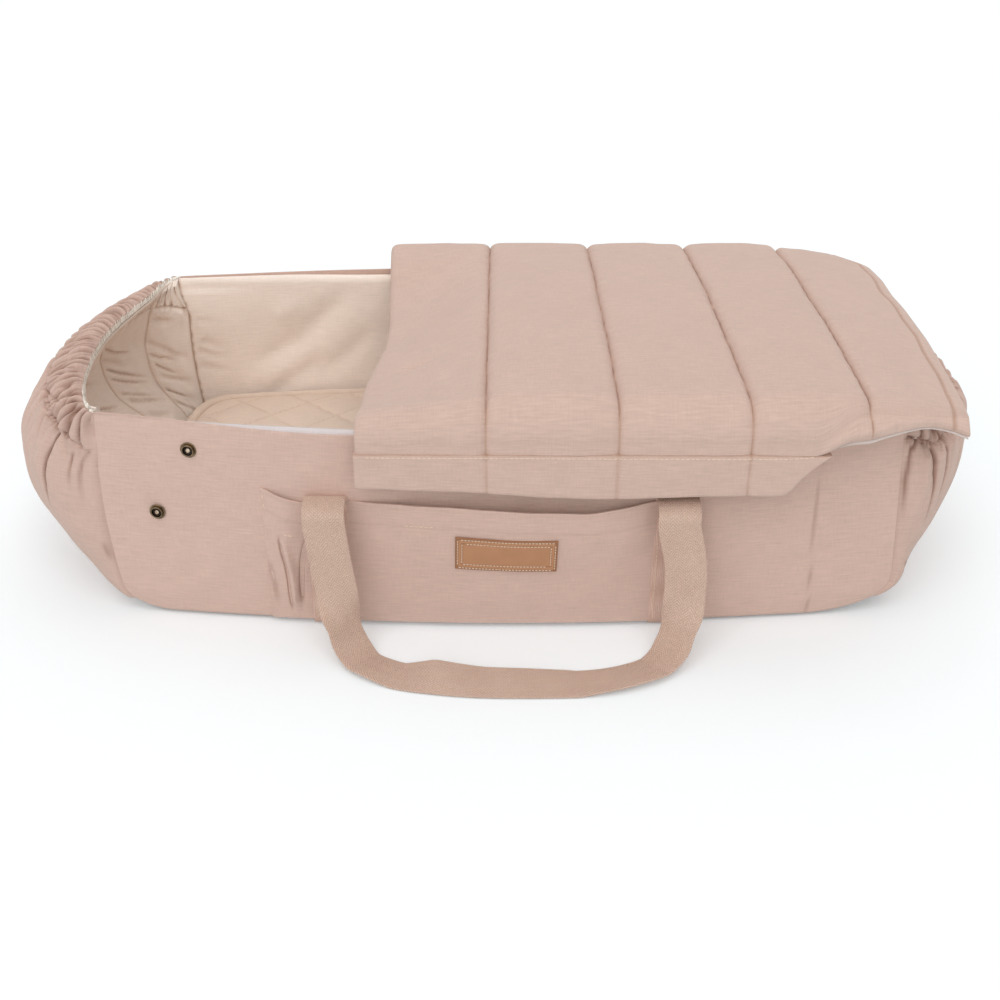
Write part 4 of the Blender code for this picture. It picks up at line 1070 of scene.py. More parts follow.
@dataclass
class OuterShell:
    """The rose cloth outside: two side panels, two gathered gussets and the base."""

    finishes: Finishes
    cloth: float = 0.0018
    gusset_cloth: float = 0.0022
    seam_x: float = 0.2262
    seam_lean: float = 0.003
    seam_dip: float = 0.0010
    casing: float = 0.062
    wall_rows: int = 70
    wall_columns: int = 240

    def side_panel(self, side: Side) -> bpy.types.Object:
        """One long side, slightly wavy, with its upright seam near the foot end."""
        arc = FORM.edge_round * math.pi / 2
        high = FORM.rim_height - FORM.under - FORM.edge_round + arc
        z, inset = FORM.rising(steps(0, (arc, 7), (high, self.wall_rows)))
        share = np.linspace(-1, 1, self.wall_columns)
        flat = FORM.wall(share[:, None], z[None, :], inset[None, :], side)
        if side is Side.FRONT:
            flat[..., 2] -= FORM.lip(flat[..., 0]) * smooth((flat[..., 2] - 0.09) / 0.07)
        x, up = flat[..., 0], flat[..., 2]
        edge = smooth((1 - np.abs(share))[:, None] / 0.05) * smooth(up / 0.02)
        edge = edge * smooth((FORM.rim_height - up) / 0.012)
        swell = 0.0011 * ripples(x, up, 0.16, 5 + side.value, (1.6, 1.0)) + 0.0004 * ripples(x, up, 0.045, 9)
        seam_x = mix(self.seam_x, self.seam_x + self.seam_lean, up / FORM.rim_height)
        seam = -self.seam_dip * bell(x - seam_x, 0.0008)
        height = (swell * edge + seam * smooth(up / 0.01)) + 0.0006 * edge
        normals = facing(flat, (0, 0, 0.08))
        front = flat + normals * height[..., None]
        back = flat - normals * (self.cloth * 0.92) + normals * (height * 0.3)[..., None]
        # Painted shade in the seam's groove and along the rim's top edge.
        hollow = np.clip(-seam / 0.0016, 0, 1) * 0.55
        hollow = np.maximum(hollow, 0.25 * bell(up - FORM.rim_height, 0.0012))
        cloth = self.finishes["rose_cotton_cloth"]
        made = shell(f"{side.word}_outer_cloth", front, back, cloth, hollow, cloth_metres(flat))
        node = f"{side.word}_outer_panel"
        dress(made, "rose_cotton", "cot", node)
        return made

    def casing_seam(self, end: End, corner: Array) -> Array:
        """How far down from the rim the casing's seam lies, at a run of cloth from a corner."""
        return np.interp(corner, *zip(*end.pick(HEAD_CASING, FOOT_CASING)))

    def gusset_folds(self, end: End, length: float) -> list[Fold]:
        """The puckers under the casing's seam and the folds that hang below them."""
        rng = np.random.default_rng(end.pick(71, 83))
        folds = list(end.pick(HEAD_GUSSET_FOLDS, FOOT_GUSSET_FOLDS))
        for pitch, far, width, height in (
            (0.0072, (0.005, 0.014), (0.6, 1.1), (1.2, 2.4)),
            (0.021, (0.022, 0.075), (2.0, 4.5), (0.8, 2.3)),
        ):
            count = int(length / pitch)
            for k in range(count):
                u = (k + rng.uniform(0.1, 0.9)) * length / count
                low = float(self.casing_seam(end, min(u, length - u))) + rng.uniform(-0.0015, 0.0015)
                reach, lean = rng.uniform(*far), rng.uniform(-0.0055, 0.0055)
                path = ((u - lean * 0.3, low - 0.003), (u + lean * 0.4, low + reach * 0.5), (u + lean, low + reach))
                folds.append(Fold(path, rng.uniform(*width) * MM, -rng.uniform(*height) * MM, (0.2, 0.75)))
        return folds

    def gathered(self, end: End, u: Array, v: Array, length: float, total: float) -> tuple[Array, Array]:
        """The gathered cloth's height and the painted shade in its gathers and creases.

        Args:
            end: Which end it closes.
            u: Runs of cloth from the front corner.
            v: Runs of cloth down from the rim.
            length: The whole run from corner to corner.
            total: The whole run down the middle.

        Returns:
            The height and the painted shade at each place.
        """
        corner = np.minimum(u, length - u)
        seam = self.casing_seam(end, corner) + 0.0010 * np.sin(u * 95)
        inner, below = v / seam, np.clip(v - seam, 0, None)
        seed, loose = end.pick(11, 131), end.pick(1.0, 0.5)
        fine, coarse = pleats(u, v, 0.0080, seed), pleats(u, v, 0.0140, seed + 5, 0.8)
        gathers = 0.5 * fine + 0.5 * coarse
        band = mix(0.50, 1.0, smooth(inner / 0.30)) * np.where(inner < 1, 1.0, np.exp(-below / 0.006))
        height = (gathers - 0.68) * 0.0080 * band * loose
        height += 0.0022 * (loose - 0.5) * np.sin(math.pi * np.clip(inner, 0, 1)) ** 0.8
        height -= 0.0017 * bell(v - seam, 0.0016)
        hanging = smooth(below / 0.004) * np.exp(-below / 0.030)
        height += (pleats(u, v, 0.0170, seed + 9, 0.8) - 0.7) * 0.0046 * hanging
        height -= 0.0090 * (1 - loose) * smooth((1.25 - inner) / 0.3)
        height += 0.0015 * ripples(u, v, 0.07, 21 + end.value, (0.8, 1.6)) * smooth(below / 0.03)
        creases, narrow = folded(self.gusset_folds(end, length), u, v)
        edge = smooth(corner / 0.006) * smooth((total - v) / 0.02)
        height = (height + creases * mix(0.55, 1.0, smooth(corner / 0.004))) * mix(0.25, 1.0, edge)
        # Painted shade in the gathers' valleys, the narrow creases, the casing seam and the corner seam.
        shaded = np.maximum(0.85 * (1 - fine), 1 - coarse) ** 1.15 * band * smooth(corner / 0.006)
        hollow = np.maximum(shaded, narrow * 0.8) + 0.25 * bell(v - seam, 0.0009) + 0.07
        return height, hollow + 0.22 * bell(corner, 0.0009) * smooth((v - 0.06) / 0.02)

    def gusset(self, end: End) -> None:
        """One gathered end: the casing along its rim and the body that hangs from it."""
        total = FORM.drop(end)
        layout = (
            ("casing", np.linspace(0, self.casing, 40), end.pick(780, 640), (0.430, 0.062), None),
            (
                "body", np.linspace(self.casing - MM, total, 74), 350,
                (0.430, end.pick(0.180, 0.160)), end.pick(0.070, 0.064),
            ),
        )
        for part, runs, count, flat_size, area in layout:
            angles, columns = FORM.even_angles(count, end)
            a, r = np.meshgrid(angles, FORM.rows_at(runs, end), indexing="ij")
            flat = FORM.end_wall(a, r, np.zeros(a.shape), end)
            normals = facing(flat, (end.value * 0.24, 0, 0.09))
            u, v = np.meshgrid(columns, runs, indexing="ij")
            length = columns[-1]
            corner = np.minimum(u, length - u)
            height, hollow = self.gathered(end, u, v, length, total)
            tuck = 0.0004 * smooth((self.casing + 0.0005 - v) / 0.0012) if part == "body" else 0.0
            front = flat + normals * (height - tuck - 0.0004 * bell(corner, 0.002))[..., None]
            front[..., 0] -= end.value * 0.0008 * bell(corner, 0.0012)
            back = flat + normals * (np.minimum(height, 0.001) * 0.7 - self.gusset_cloth)[..., None]
            uv = np.stack([u - length / 2, -v], -1)
            made = shell(f"{end.word}_gusset_{part}", front, back, self.finishes["rose_cotton_cloth"], hollow, uv)
            node = f"{end.word}_outer_gusset"
            dress(made, "rose_cotton", "cot", node)

    def build(self) -> None:
        """Builds the whole outside."""
        for side in Side:
            self.side_panel(side)
        for end in End:
            self.gusset(end)
        floor_layer("base_outer_cloth", "base_outer_panel", self.finishes["rose_cotton_cloth"], "rose_cotton")


HEAD_CASING: tuple[Point, ...] = (
    (0, 0.0770), (0.0013, 0.0659), (0.0053, 0.0590), (0.0118, 0.0521), (0.0217, 0.0481), (0.0487, 0.0385),
    (0.0855, 0.0367),
)
FOOT_CASING: tuple[Point, ...] = (
    (0, 0.0473), (0.0056, 0.0475), (0.0111, 0.0530), (0.0216, 0.0550), (0.045, 0.044), (0.085, 0.036),
)
HEAD_GUSSET_FOLDS = in_mm(
    (((21.5, 50), (27, 79.6), (28.3, 100.3), (32.9, 131.2)), 1, -3.2, (0.08, 0.55)),
    (((29, 60), (35, 85), (37, 110)), 5, 3, (0.3, 0.5)),
    (((8.6, 64), (9.9, 83.1), (9.9, 105)), 0.8, -1.8, (0.2, 0.7)),
    (((3.3, 65.3), (5.3, 85.9), (5.3, 115)), 0.7, -1.4, (0.2, 0.7)),
    (((88.2, 40.7), (62, 33), (28.3, 24.1)), 0.9, -1.8, (0.2, 0.4)),
    (((80.3, 40.7), (50, 45), (21.1, 49.8)), 0.9, -1.6, (0.2, 0.4)),
    (((1.8, 142), (1.6, 160), (1.4, 176)), 0.8, -1.2, (0.4, 0.4)),
)
FOOT_GUSSET_FOLDS = in_mm(
    (((21.6, 54), (11.1, 50), (1.4, 45)), 1.1, -3, (0.3, 0.1)),
    (((15, 42), (8, 50), (3, 60)), 1, -2.6, (0.3, 0.2)),
    (((4, 50), (2, 80.9), (2.4, 120)), 1, -2.2, (0.1, 0.6)),
    (((12, 54), (13, 80), (15, 105)), 3.6, 2.2, (0.2, 0.6)),
    (((18, 56), (20.9, 90), (22.5, 130)), 1.2, -2.8, (0.1, 0.7)),
    (((29, 56), (32.8, 88.2), (35, 120)), 1.3, -2.4, (0.1, 0.7)),
    (((12.5, 159.6), (19, 169), (25.1, 181.1)), 1.8, -1.6, (0.3, 0.3)),
)


def floor_layer(name: str, node: str, material: bpy.types.Material, slot: str) -> bpy.types.Object:
    """A layer of the tub's floor, from its node's own box, with a slightly puckered underside."""
    low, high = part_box(node)
    level = FORM.under + FORM.edge_round
    turns = np.linspace(0, FULL_TURN, 241)[:-1]
    shares = np.concatenate([np.linspace(0.02, 0.9, 10), np.linspace(0.92, 1.0, 5)])
    t, s = np.meshgrid(turns, shares, indexing="ij")
    reach = np.where(np.cos(t) < 0, -low[0] + FORM.shift, high[0] - FORM.shift)
    x = reach * np.sign(np.cos(t)) * np.abs(np.cos(t)) ** 0.72 * s
    across = np.sign(np.sin(t)) * np.abs(np.sin(t)) ** 0.62
    bow = FORM.bow(level) * np.clip(np.abs(x) / FORM.base_corner, 0, 1) ** 2 * 0.9
    y = (FORM.half_width(level) - FLOOR_INSET - bow) * across * s
    pucker = np.abs(0.0003 * ripples(x, y, 0.05, 31)) * smooth((1 - s) / 0.1)
    under = np.stack([x, y, low[2] + 0.0001 + pucker], -1)
    top = np.stack([x, y, np.full(x.shape, high[2])], -1)[:, ::-1]
    rings = np.concatenate([under, top], 1)
    made = lofted(name, rings, rings[..., :2], material, sharp=50)
    dress(made, slot, "cot", node)
    return made


@dataclass
class Boards:
    """The pressed boards that stiffen the sides and the floor."""

    finishes: Finishes
    near: float = 0.0036
    far: float = 0.0061
    front_drop: float = 0.0065

    def build(self) -> None:
        """Builds the three boards."""
        board = self.finishes["pressed_board"]
        for side in Side:
            node = f"{side.word}_side_board"
            low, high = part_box(node)
            along_x = np.linspace(low[0], high[0], 90) - FORM.shift
            up = np.linspace(low[2], high[2] - side.pick(self.front_drop, 0.0), 40)
            x, z = np.meshgrid(along_x, up, indexing="ij")
            share = x / (FORM.corner(z) - FORM.corner_gap)
            faces = [FORM.wall(share, z, np.full(z.shape, depth), side) for depth in (self.near, self.far)]
            dress(shell(f"{node}_sheet", faces[0], faces[1], board), "fibreboard", "cot", node)
        floor_layer("base_board_sheet", "base_board", board, "fibreboard")


# --------------------------------------------------------------------------- linings and rims


@dataclass
class Linings:
    """The cream linings: padded sides with a rolled rim, channelled ends, the floor's cloth."""

    finishes: Finishes
    face: float = 0.0064
    thick: float = 0.0054
    outer: float = 0.0026
    roll: float = 0.0052
    wall_rows: int = 60
    end_face: float = 0.0077
    end_seam: float = 0.0055
    end_crown: float = 0.0040
    lowest_row: float = 0.00194
    second_row: float = 0.02997
    seams: tuple[float, ...] = (0.0, 0.050, 0.110, 0.170, 0.230, 0.290, 0.350, 0.3997)

    def side(self, side: Side) -> bpy.types.Object:
        """A padded side lining that rolls over the rim."""
        rows = self.wall_rows
        share = np.linspace(-1, 1, 260)
        rise, turns = np.linspace(0, 1, rows), np.linspace(0, math.pi, 22)[1:]
        place = share[:, None] * FORM.rim_corner
        drop = side.pick(FORM.lip(place), 0 * place)
        sunk = side.pick(0.0064 + 0 * place, 0.0006 + 0.0040 * smooth((place + 0.27) / 0.17))
        top = FORM.rim_height + 0.0003 - sunk
        outer = self.outer - 0.0007 * drop / FORM.lip_drop
        inside = self.face + self.thick
        middle, half = (inside + outer) / 2, (inside - outer) / 2
        wall = mix(FORM.floor_top + 0.0004, top - self.roll, rise[None, :])
        arc = top - self.roll + (self.roll + 0.12 * drop * (turns > math.pi / 2)) * np.sin(turns)
        arc = arc - 0.14 * drop * smooth((turns - 2.2) / 0.9)
        z = np.concatenate([wall, arc], 1)
        depth = np.concatenate([np.full(wall.shape, inside), middle + half * np.cos(turns)], 1)
        depth[:, :rows] -= 0.0020 * (1 - smooth((wall - FORM.floor_top) / 0.006))
        narrow = 1 - 0.25 * smooth((np.abs(share) - 0.75) / 0.25)[:, None] * (z > 0.15)
        depths = outer + (depth - outer) * narrow
        s = share[:, None] + 0 * z
        flat = FORM.wall(s, z, depths, side)
        uv = cloth_metres(flat)
        uv[..., 1] = uv[..., 1] - uv[..., 1].min()
        normals = facing(flat, (0, side.value * 0.30, 0.05))
        x, up = flat[..., 0], flat[..., 2]
        swell = 0.0012 * ripples(x, up, 0.11, 41 + side.value, (1.2, 1.0)) * smooth(up / 0.03)
        creases, narrow_folds = folded(side.pick(FRONT_LINING_FOLDS, BACK_LINING_FOLDS), x, up)
        raised = (swell + creases) * smooth((1 - np.abs(s)) / 0.03) + 0.0004
        front = flat + normals * raised[..., None]
        back_z = np.where(z > top - self.roll, top - self.roll + 0.3 * (z - top + self.roll), z)
        over_rim = 0.25 * (np.arange(z.shape[1]) >= rows)
        back = FORM.wall(s, back_z, mix(self.face + 0.0002, depths, over_rim), side)
        # Painted shade in the narrow folds and along the lining's seams at its ends, in a scalloped line.
        scallop = 1.0 + 0.6 * np.sin(up * 520 + 2 * np.sin(up * 130))
        hollow = narrow_folds * 0.4 + 0.55 * bell((1 - np.abs(s)) * FORM.rim_corner, 0.0011) * scallop
        made = shell(f"{side.word}_lining_pad", front, back, self.finishes["cream_lining_cloth"], hollow, uv)
        # Painted shade: the roll over the front rim takes the darker copy of the lining cloth.
        if side is Side.FRONT:
            made.data.materials.append(self.finishes["lip_cloth"])
            kinds = np.zeros(len(made.data.polygons), np.int32)
            count = (s.shape[0] - 1) * (s.shape[1] - 1)
            kinds[:count] = np.arange(count) % (s.shape[1] - 1) > rows + 2
            made.data.polygons.foreach_set("material_index", kinds)
        dress(made, "cream_cotton", "cot", f"{side.word}_lining")
        return made

    def end(self, end: End) -> bpy.types.Object:
        """A channelled end lining with a gathered band along its rim."""
        angles, columns = FORM.even_angles(end.pick(310, 240), end, 3.0)
        low = (FORM.floor_top + 0.0003 - self.lowest_row) / (self.second_row - self.lowest_row)
        total = FORM.drop(end, low)
        runs = steps(0, (0.064, 46), (total, 62))
        a, r = np.meshgrid(angles, FORM.rows_at(runs, end, low), indexing="ij")
        length = columns[-1]
        u, v = np.meshgrid(columns, runs, indexing="ij")
        seams = np.array(self.seams) * length / self.seams[-1]
        k = np.clip(np.searchsorted(seams, u) - 1, 0, len(seams) - 2)
        left, right = u - seams[k], seams[k + 1] - u
        from_seam, width = np.minimum(left, right), (left + right) / 2
        corner = np.minimum(u, length - u)
        band = np.interp(corner, (0.005, 0.018, 0.039, 0.057), (0.0594, 0.0528, 0.0467, 0.0412))
        body = smooth((v - band) / 0.006)
        crown = self.end_crown * (1 - (1 - np.clip(from_seam / 0.013, 0, 1)) ** 2) ** 0.6
        crown += 0.0014 * np.sin(math.pi / 2 * np.clip(from_seam / width, 0, 1))
        gathers = 0.6 * pleats(u, v, 0.0085, 17) + 0.4 * pleats(u, v, 0.015, 23, 0.8)
        bunch = np.where(v < band, 1.0, np.exp(-(v - band) / 0.008)) * smooth(v / 0.010)
        thick = self.end_seam + mix(0.0032, crown, body) + (gathers - 0.66) * 0.0044 * bunch
        thick -= 0.0026 * bell(v - band, 0.0017)
        creases, narrow = folded(self.wrinkles(end, seams, total), u, v)
        shade = 0.0008 * ripples(u, v, 0.025, 55 + end.value, (0.7, 1.5)) * body
        thick += (creases + shade) * smooth(corner / 0.006)
        thick = np.maximum(thick, 0.0012) * mix(0.25, 1.0, smooth(v / 0.016))
        front = FORM.end_wall(a, r, self.end_face + thick, end)
        back = FORM.end_wall(a, r, np.full(a.shape, self.end_face), end)
        # Painted shade in the channel seams, the band's seam, the wrinkles and the gathers' valleys.
        hollow = 0.55 * bell(from_seam, 0.0010) * body + 0.35 * bell(v - band, 0.0011) + narrow * 0.6
        hollow += np.clip((0.58 - gathers) / 0.5, 0, 1) * bunch * 0.55
        uv = np.stack([u - length / 2, -v], -1)
        made = shell(f"{end.word}_lining_quilt", front, back, self.finishes["cream_lining_cloth"], hollow, uv)
        dress(made, "cream_cotton", "cot", f"{end.word}_lining")
        return made

    def wrinkles(self, end: End, seams: Array, total: float) -> list[Fold]:
        """Soft diagonal wrinkles that fan across each channel from seam to seam."""
        rng = np.random.default_rng(end.pick(5, 6))
        folds: list[Fold] = []
        for channel, (left, right) in enumerate(zip(seams[:-1], seams[1:])):
            slope = 0.42 * math.copysign(1.0, channel - 3.2)
            for k in range(8):
                v = 0.056 + (total - 0.056) * (k + rng.uniform(0.1, 0.9)) / 9
                start, stop = rng.uniform(0.0, 0.12), rng.uniform(0.65, 1.0)
                rise = slope * (right - left) * (stop - start) * rng.uniform(0.4, 1.3)
                path = tuple(
                    (mix(left, right, mix(start, stop, t)), v + rise * t + 0.004 * math.sin(math.pi * t))
                    for t in (0, 0.3, 0.65, 1)
                )
                folds.append(Fold(path, rng.uniform(1.6, 3.8) * MM, -rng.uniform(2.0, 4.2) * MM, (0.12, 0.5)))
        return folds

    def frill(self, end: End) -> bpy.types.Object:
        """The narrow, ragged white ruffle that shows along a rim's inner edge."""
        angles, columns = FORM.even_angles(900, end, TOP_ROW)
        length = columns[-1]
        a, w = np.meshgrid(angles, np.linspace(0, 1, 7), indexing="ij")
        flat = FORM.end_wall(a, np.full(a.shape, TOP_ROW), mix(0.0004, 0.0038, w), end)
        u = columns[:, None]
        ruffle = np.sin(FULL_TURN * (u / 0.0048 + 0.6 * np.sin(u * 170) + 0.3 * np.sin(u * 411 + 1)))
        ragged = 0.9 * ripples(u, 0 * u, 0.006, 95 + end.value)
        ends = smooth(np.minimum(u, length - u) / 0.012)
        wild = end.pick(1.0 + 1.4 * np.exp(-u / 0.018), 1.0)
        lift = (0.0008 + 0.0013 * (ruffle + 1.4 * ragged) * wild) * (0.35 + 0.65 * ends)
        sway = 0.0006 * np.sin(FULL_TURN * (u / 0.0031 + 0.5 * np.sin(u * 230))) * wild + 0.0006 * ragged
        top = flat.copy()
        top[..., 2] += lift * np.sin(math.pi * np.clip(w * 0.9 + 0.1, 0, 1))
        top[..., 0] -= end.value * (0.0006 + sway) * w
        back = top - np.array([0.0, 0.0, 0.0009])
        # Painted shade in the ruffle's valleys.
        hollow = np.clip(-ruffle * 0.8 - 0.2, 0, 0.7) * np.ones(w.shape)
        uv = np.stack([u + 0 * w, w * 0.005], -1)
        made = shell(f"{end.word}_rim_frill", top, back, self.finishes["cream_frill"], hollow, uv)
        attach(made, "cot")
        return made

    def elastic(self, end: End) -> bpy.types.Object:
        """The elastic inside a rim's casing."""
        angles, _ = FORM.even_angles(300, end)
        a, r = np.meshgrid(angles[8:-8], np.linspace(6.05, 6.95, 10), indexing="ij")
        front, back = (FORM.end_wall(a, r, np.full(a.shape, depth), end) for depth in (0.00600, 0.00720))
        made = shell(f"{end.word}_elastic_band", front, back, self.finishes["cream_frill"])
        dress(made, "elastic", "cot", f"{end.word}_rim_elastic")
        return made

    def build(self) -> None:
        """Builds all linings."""
        for side in Side:
            self.side(side)
        for end in End:
            self.end(end)
            self.frill(end)
            self.elastic(end)
        floor_layer("base_lining_cloth", "base_lining", self.finishes["cream_lining_cloth"], "cream_cotton")


BACK_LINING_FOLDS = in_mm(
    (((-281.4, 103), (-268.1, 96.9), (-256, 95)), 3.2, -1.6, (0.1, 0.7)),
    (((-285.5, 93.4), (-269.6, 85.7), (-256, 85)), 3, -1.8, (0.1, 0.7)),
    (((-284.3, 77.6), (-266.5, 71.5), (-254, 72)), 3, -1.6, (0.1, 0.7)),
    (((-283, 124), (-270, 121), (-260, 120)), 2.8, -1, (0.1, 0.7)),
    (((-248.7, 65.4), (-189.8, 97.9), (-149.9, 136.6), (-130.4, 150.8)), 11, -3, (0.3, 0.3)),
    (((-232.4, 38), (-190, 64), (-162.3, 87.3)), 9, -2.6, (0.3, 0.3)),
    (((-190, 50), (-145, 82), (-115, 115)), 10, -2.2, (0.3, 0.3)),
    (((-215, 115), (-185, 140)), 10, 1.8, (0.4, 0.4)),
)
FRONT_LINING_FOLDS = in_mm(
    (((-272, 96), (-250, 104), (-228, 105)), 2.4, -1.8, (0.1, 0.7)),
    (((-200, 50), (-150, 90), (-110, 130)), 12, -2.4, (0.3, 0.3)),
)


# --------------------------------------------------------------------------- the cover


@dataclass
class QuiltedCover:
    """The quilted cover: its channels, lining, hems and the tapes under the hems."""

    finishes: Finishes
    threads: StitchRows
    head_x: float = -0.099
    foot_x: float = 0.336
    pitch: float = 0.0898
    half_wide: float = 0.194
    thick: float = 0.0200
    skirt_thick: float = 0.0080
    shoulder: float = 0.016
    dome: float = 0.0050
    crown: float = 0.0035
    seam_dip: float = 0.0029
    under: float = 0.1642
    hem_top: float = 0.150
    fold_seam: int = 2
    flat_end: float = 0.70
    round_end: float = 0.88
    hem_end: float = 0.2250

    def skirt(self, x: Array) -> Array:
        """1 where the long edge hangs down, and 0 past the skirt's end."""
        return 1.0 - smooth((x - 0.212) / 0.050)

    def edge_height(self, x: Array) -> Array:
        """The height of the quilt's lower long edge."""
        return along(LONG_EDGE, x)

    def sag(self, x: Array, y: Array) -> Array:
        """How far the unsupported head edge hangs down."""
        return along(HEAD_SAG, y) * (1.0 - smooth((x - self.head_x) / 0.125))

    def run_shares(self, run: Array) -> tuple[Array, Array, Array]:
        """Shares gone of the flat top, of the rounded shoulder and of the hanging skirt."""
        size, flat, bent = np.abs(run), self.flat_end, self.round_end
        first = np.clip(size / flat, 0, 1)
        return first, np.clip((size - flat) / (bent - flat), 0, 1), np.clip((size - bent) / (1 - bent), 0, 1.4)

    def middle(self, x: Array, run: Array) -> tuple[Array, Array, Array, Array, Array]:
        """The quilt's middle surface.

        Args:
            x: Places along the cot.
            run: From -1 at the front edge by 0 in the middle to 1 at the back edge.

        Returns:
            y, z, the normal's y and z, and how flat the quilt lies there.
        """
        skirt = self.skirt(x)
        turn = np.radians(mix(30.0, 90.0, skirt))
        wide = self.half_wide - self.skirt_thick / 2
        flat = wide - self.shoulder
        top = self.under + self.thick / 2
        first, second, third = self.run_shares(run)
        angle = turn * second
        low = top - self.shoulder * (1 - np.cos(turn))
        hang = np.clip(low - self.edge_height(x), 0.0015, None) / np.sin(turn)
        y = flat * first + self.shoulder * np.sin(angle) + third * hang * np.cos(turn)
        z = top + self.dome * (1 - first**2) - self.shoulder * (1 - np.cos(angle)) - third * hang * np.sin(turn)
        sign = np.sign(run)
        return sign * y, z, sign * np.sin(angle), np.cos(angle), 1.0 - second

    def foot_share(self, x: Array) -> Array:
        """0 until the cover starts to thin towards its foot edge, and 1 there."""
        return np.clip((x - 0.250) / (self.foot_x - 0.250), 0, 1)

    def shifted(self, x: Array, y: Array) -> Array:
        """Where a point goes along X, so that the short edges are curved."""
        head = 1.0 - smooth((x - self.head_x) / self.pitch)
        edge = along(FOOT_EDGE, y) * smooth(self.foot_share(x) * 1.15)
        last = mix(0.009, 0.004, np.clip(y / 0.38 + 0.5, 0, 1)) * bell(x - self.head_x - 4 * self.pitch, 0.045)
        return x + along(HEAD_EDGE, y) * head - edge - last

    def seam_gap(self, x: Array, y: Array, straight: bool = False) -> tuple[Array, Array]:
        """Distance to the nearest channel seam, and the share along its channel."""
        wobble = 0.0
        if not straight:
            wobble = 0.0003 * ripples(y, 0 * y + 0.31 * np.round((x - self.head_x) / self.pitch), 0.05, 61)
        place = (x + wobble - self.head_x) / self.pitch
        k = np.clip(np.round(place), 1, 4)
        return np.abs(place - k) * self.pitch, place

    def layers(self, x: Array, run: Array, *heights: Array) -> list[Array]:
        """Surfaces at heights off the quilt's middle surface, sagging and with curved short edges."""
        y, z, ny, nz, _ = self.middle(x, run)
        place, sag = self.shifted(x, y), self.sag(x, y)
        return [np.stack([place, y + ny * high, z + nz * high - sag], -1) for high in heights]

    def columns(self) -> Array:
        """Places along the quilt, closer together at its seams and its short edges."""
        seams = self.head_x + self.pitch * np.arange(1, 5)
        near, far = self.head_x + 0.010, self.foot_x - 0.012
        parts = [np.linspace(self.head_x, near, 14)]
        edges = [near, *seams, far]
        for first, last in zip(edges[:-1], edges[1:]):
            t = np.linspace(0, 1, 66)
            parts.append(mix(first, last, t - 0.10 * np.sin(FULL_TURN * t))[1:])
        return np.concatenate([*parts, np.linspace(far, self.foot_x, 16)[1:]])

    def edges_thinned(self, x: Array, run: Array) -> Array:
        """The quilt's thickness near its edges, as a share of its whole thickness."""
        thin = mix(1.0, 0.45, self.foot_share(x))
        thin = thin * mix(0.70, 1.0, arch((x - self.head_x) / 0.006))
        thin = thin * mix(0.55, 1.0, arch((self.foot_x - x) / 0.012))
        return thin * mix(1.0, mix(0.5, 1.0, arch((1 - np.abs(run)) / 0.05)), smooth((x - 0.215) / 0.02))

    def quilt(self) -> bpy.types.Object:
        """The quilt itself, one piece across the fold."""
        half = steps(0, (self.flat_end, 66), (self.round_end, 18), (1.0, 10))
        x, run = np.meshgrid(self.columns(), np.concatenate([-half[::-1], half[1:]]), indexing="ij")
        y, _, _, _, flat = self.middle(x, run)
        thick = mix(self.skirt_thick, self.thick, flat)
        gap, place = self.seam_gap(x, y)
        roll = (1 - (1 - np.clip(gap / 0.0088, 0, 1)) ** 2.4) ** 0.75
        channel = np.clip(np.minimum(place % 1.0, 1 - place % 1.0) * 2, 0, 1)
        crown = mix(-self.seam_dip, self.crown * mix(0.55, 1.0, np.sin(math.pi / 2 * channel)), roll)
        crown = crown * mix(0.35, 1.0, flat) * mix(0.6, 1.0, smooth((x - self.head_x) / 0.012))
        pipe_x = self.foot_x - 0.0105 + 0.0006 * np.sin(y * 90)
        pipe = -0.0014 * bell(pipe_x - x, 0.0012) * (np.abs(y) < 0.3)
        swell = 0.0007 * ripples(x, y, 0.09, 63, (1.0, 1.5)) + 0.00022 * ripples(x, y, 0.022, 64, (1.5, 1.0))
        pucker = 0.00075 * ripples(x * 0.2, y, 0.0085, 65) * np.exp(-gap / 0.006) * smooth(gap / 0.0012)
        creases, _ = folded(COVER_FOLDS, x, y)
        loose = (swell + pucker + creases) * smooth((self.foot_x - x) / 0.02)
        high = thick * (self.edges_thinned(x, run) - 0.5) + crown + pipe + loose
        top, low = self.layers(x, run, high, -thick / 2)
        # Painted shade in the channel seams and in the groove along the foot's piping.
        hollow = 0.45 * bell(gap, 0.00075) + 0.10 * bell(gap, 0.0028) + np.clip(-pipe / 0.0022, 0, 0.5)
        uv = np.stack([x, self.unrolled(run)], -1)
        made = shell("cover_quilt", top, low, self.finishes["cover_cotton_cloth"], hollow, uv, sharp=70)
        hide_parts("cover_head_quilt", "cover_foot_quilt")
        self.across_fold(made)
        return made

    def unrolled(self, run: Array) -> Array:
        """The length of cloth across the cover."""
        first, second, third = self.run_shares(run)
        return np.sign(run) * (0.174 * first + 0.025 * second + 0.008 * third)

    def lining(self) -> bpy.types.Object:
        """The pale cloth under the quilt."""
        xs = np.linspace(self.head_x + 0.0006, self.foot_x - 0.0006, 120)
        x, run = np.meshgrid(xs, np.linspace(-0.985, 0.985, 120), indexing="ij")
        run = run * (1 + 0.030 * smooth((x - 0.224) / 0.012))
        y, _, _, _, flat = self.middle(x, run)
        thick = mix(self.skirt_thick, self.thick, flat)
        gap, _ = self.seam_gap(x, y, True)
        tuft = 0.0005 * bell(gap, 0.003) + 0.0002 * ripples(x, y, 0.03, 67)
        face = -thick / 2 - 0.0013 + np.minimum(smooth(flat * 3) * tuft, 0.0006)
        front, back = self.layers(x, run, face, -thick / 2 - 0.0004)
        made = shell("cover_lining_cloth", front, back, self.finishes["pale_underside"], None, np.stack([x, y], -1))
        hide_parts("cover_head_lining", "cover_foot_lining")
        self.across_fold(made)
        return made

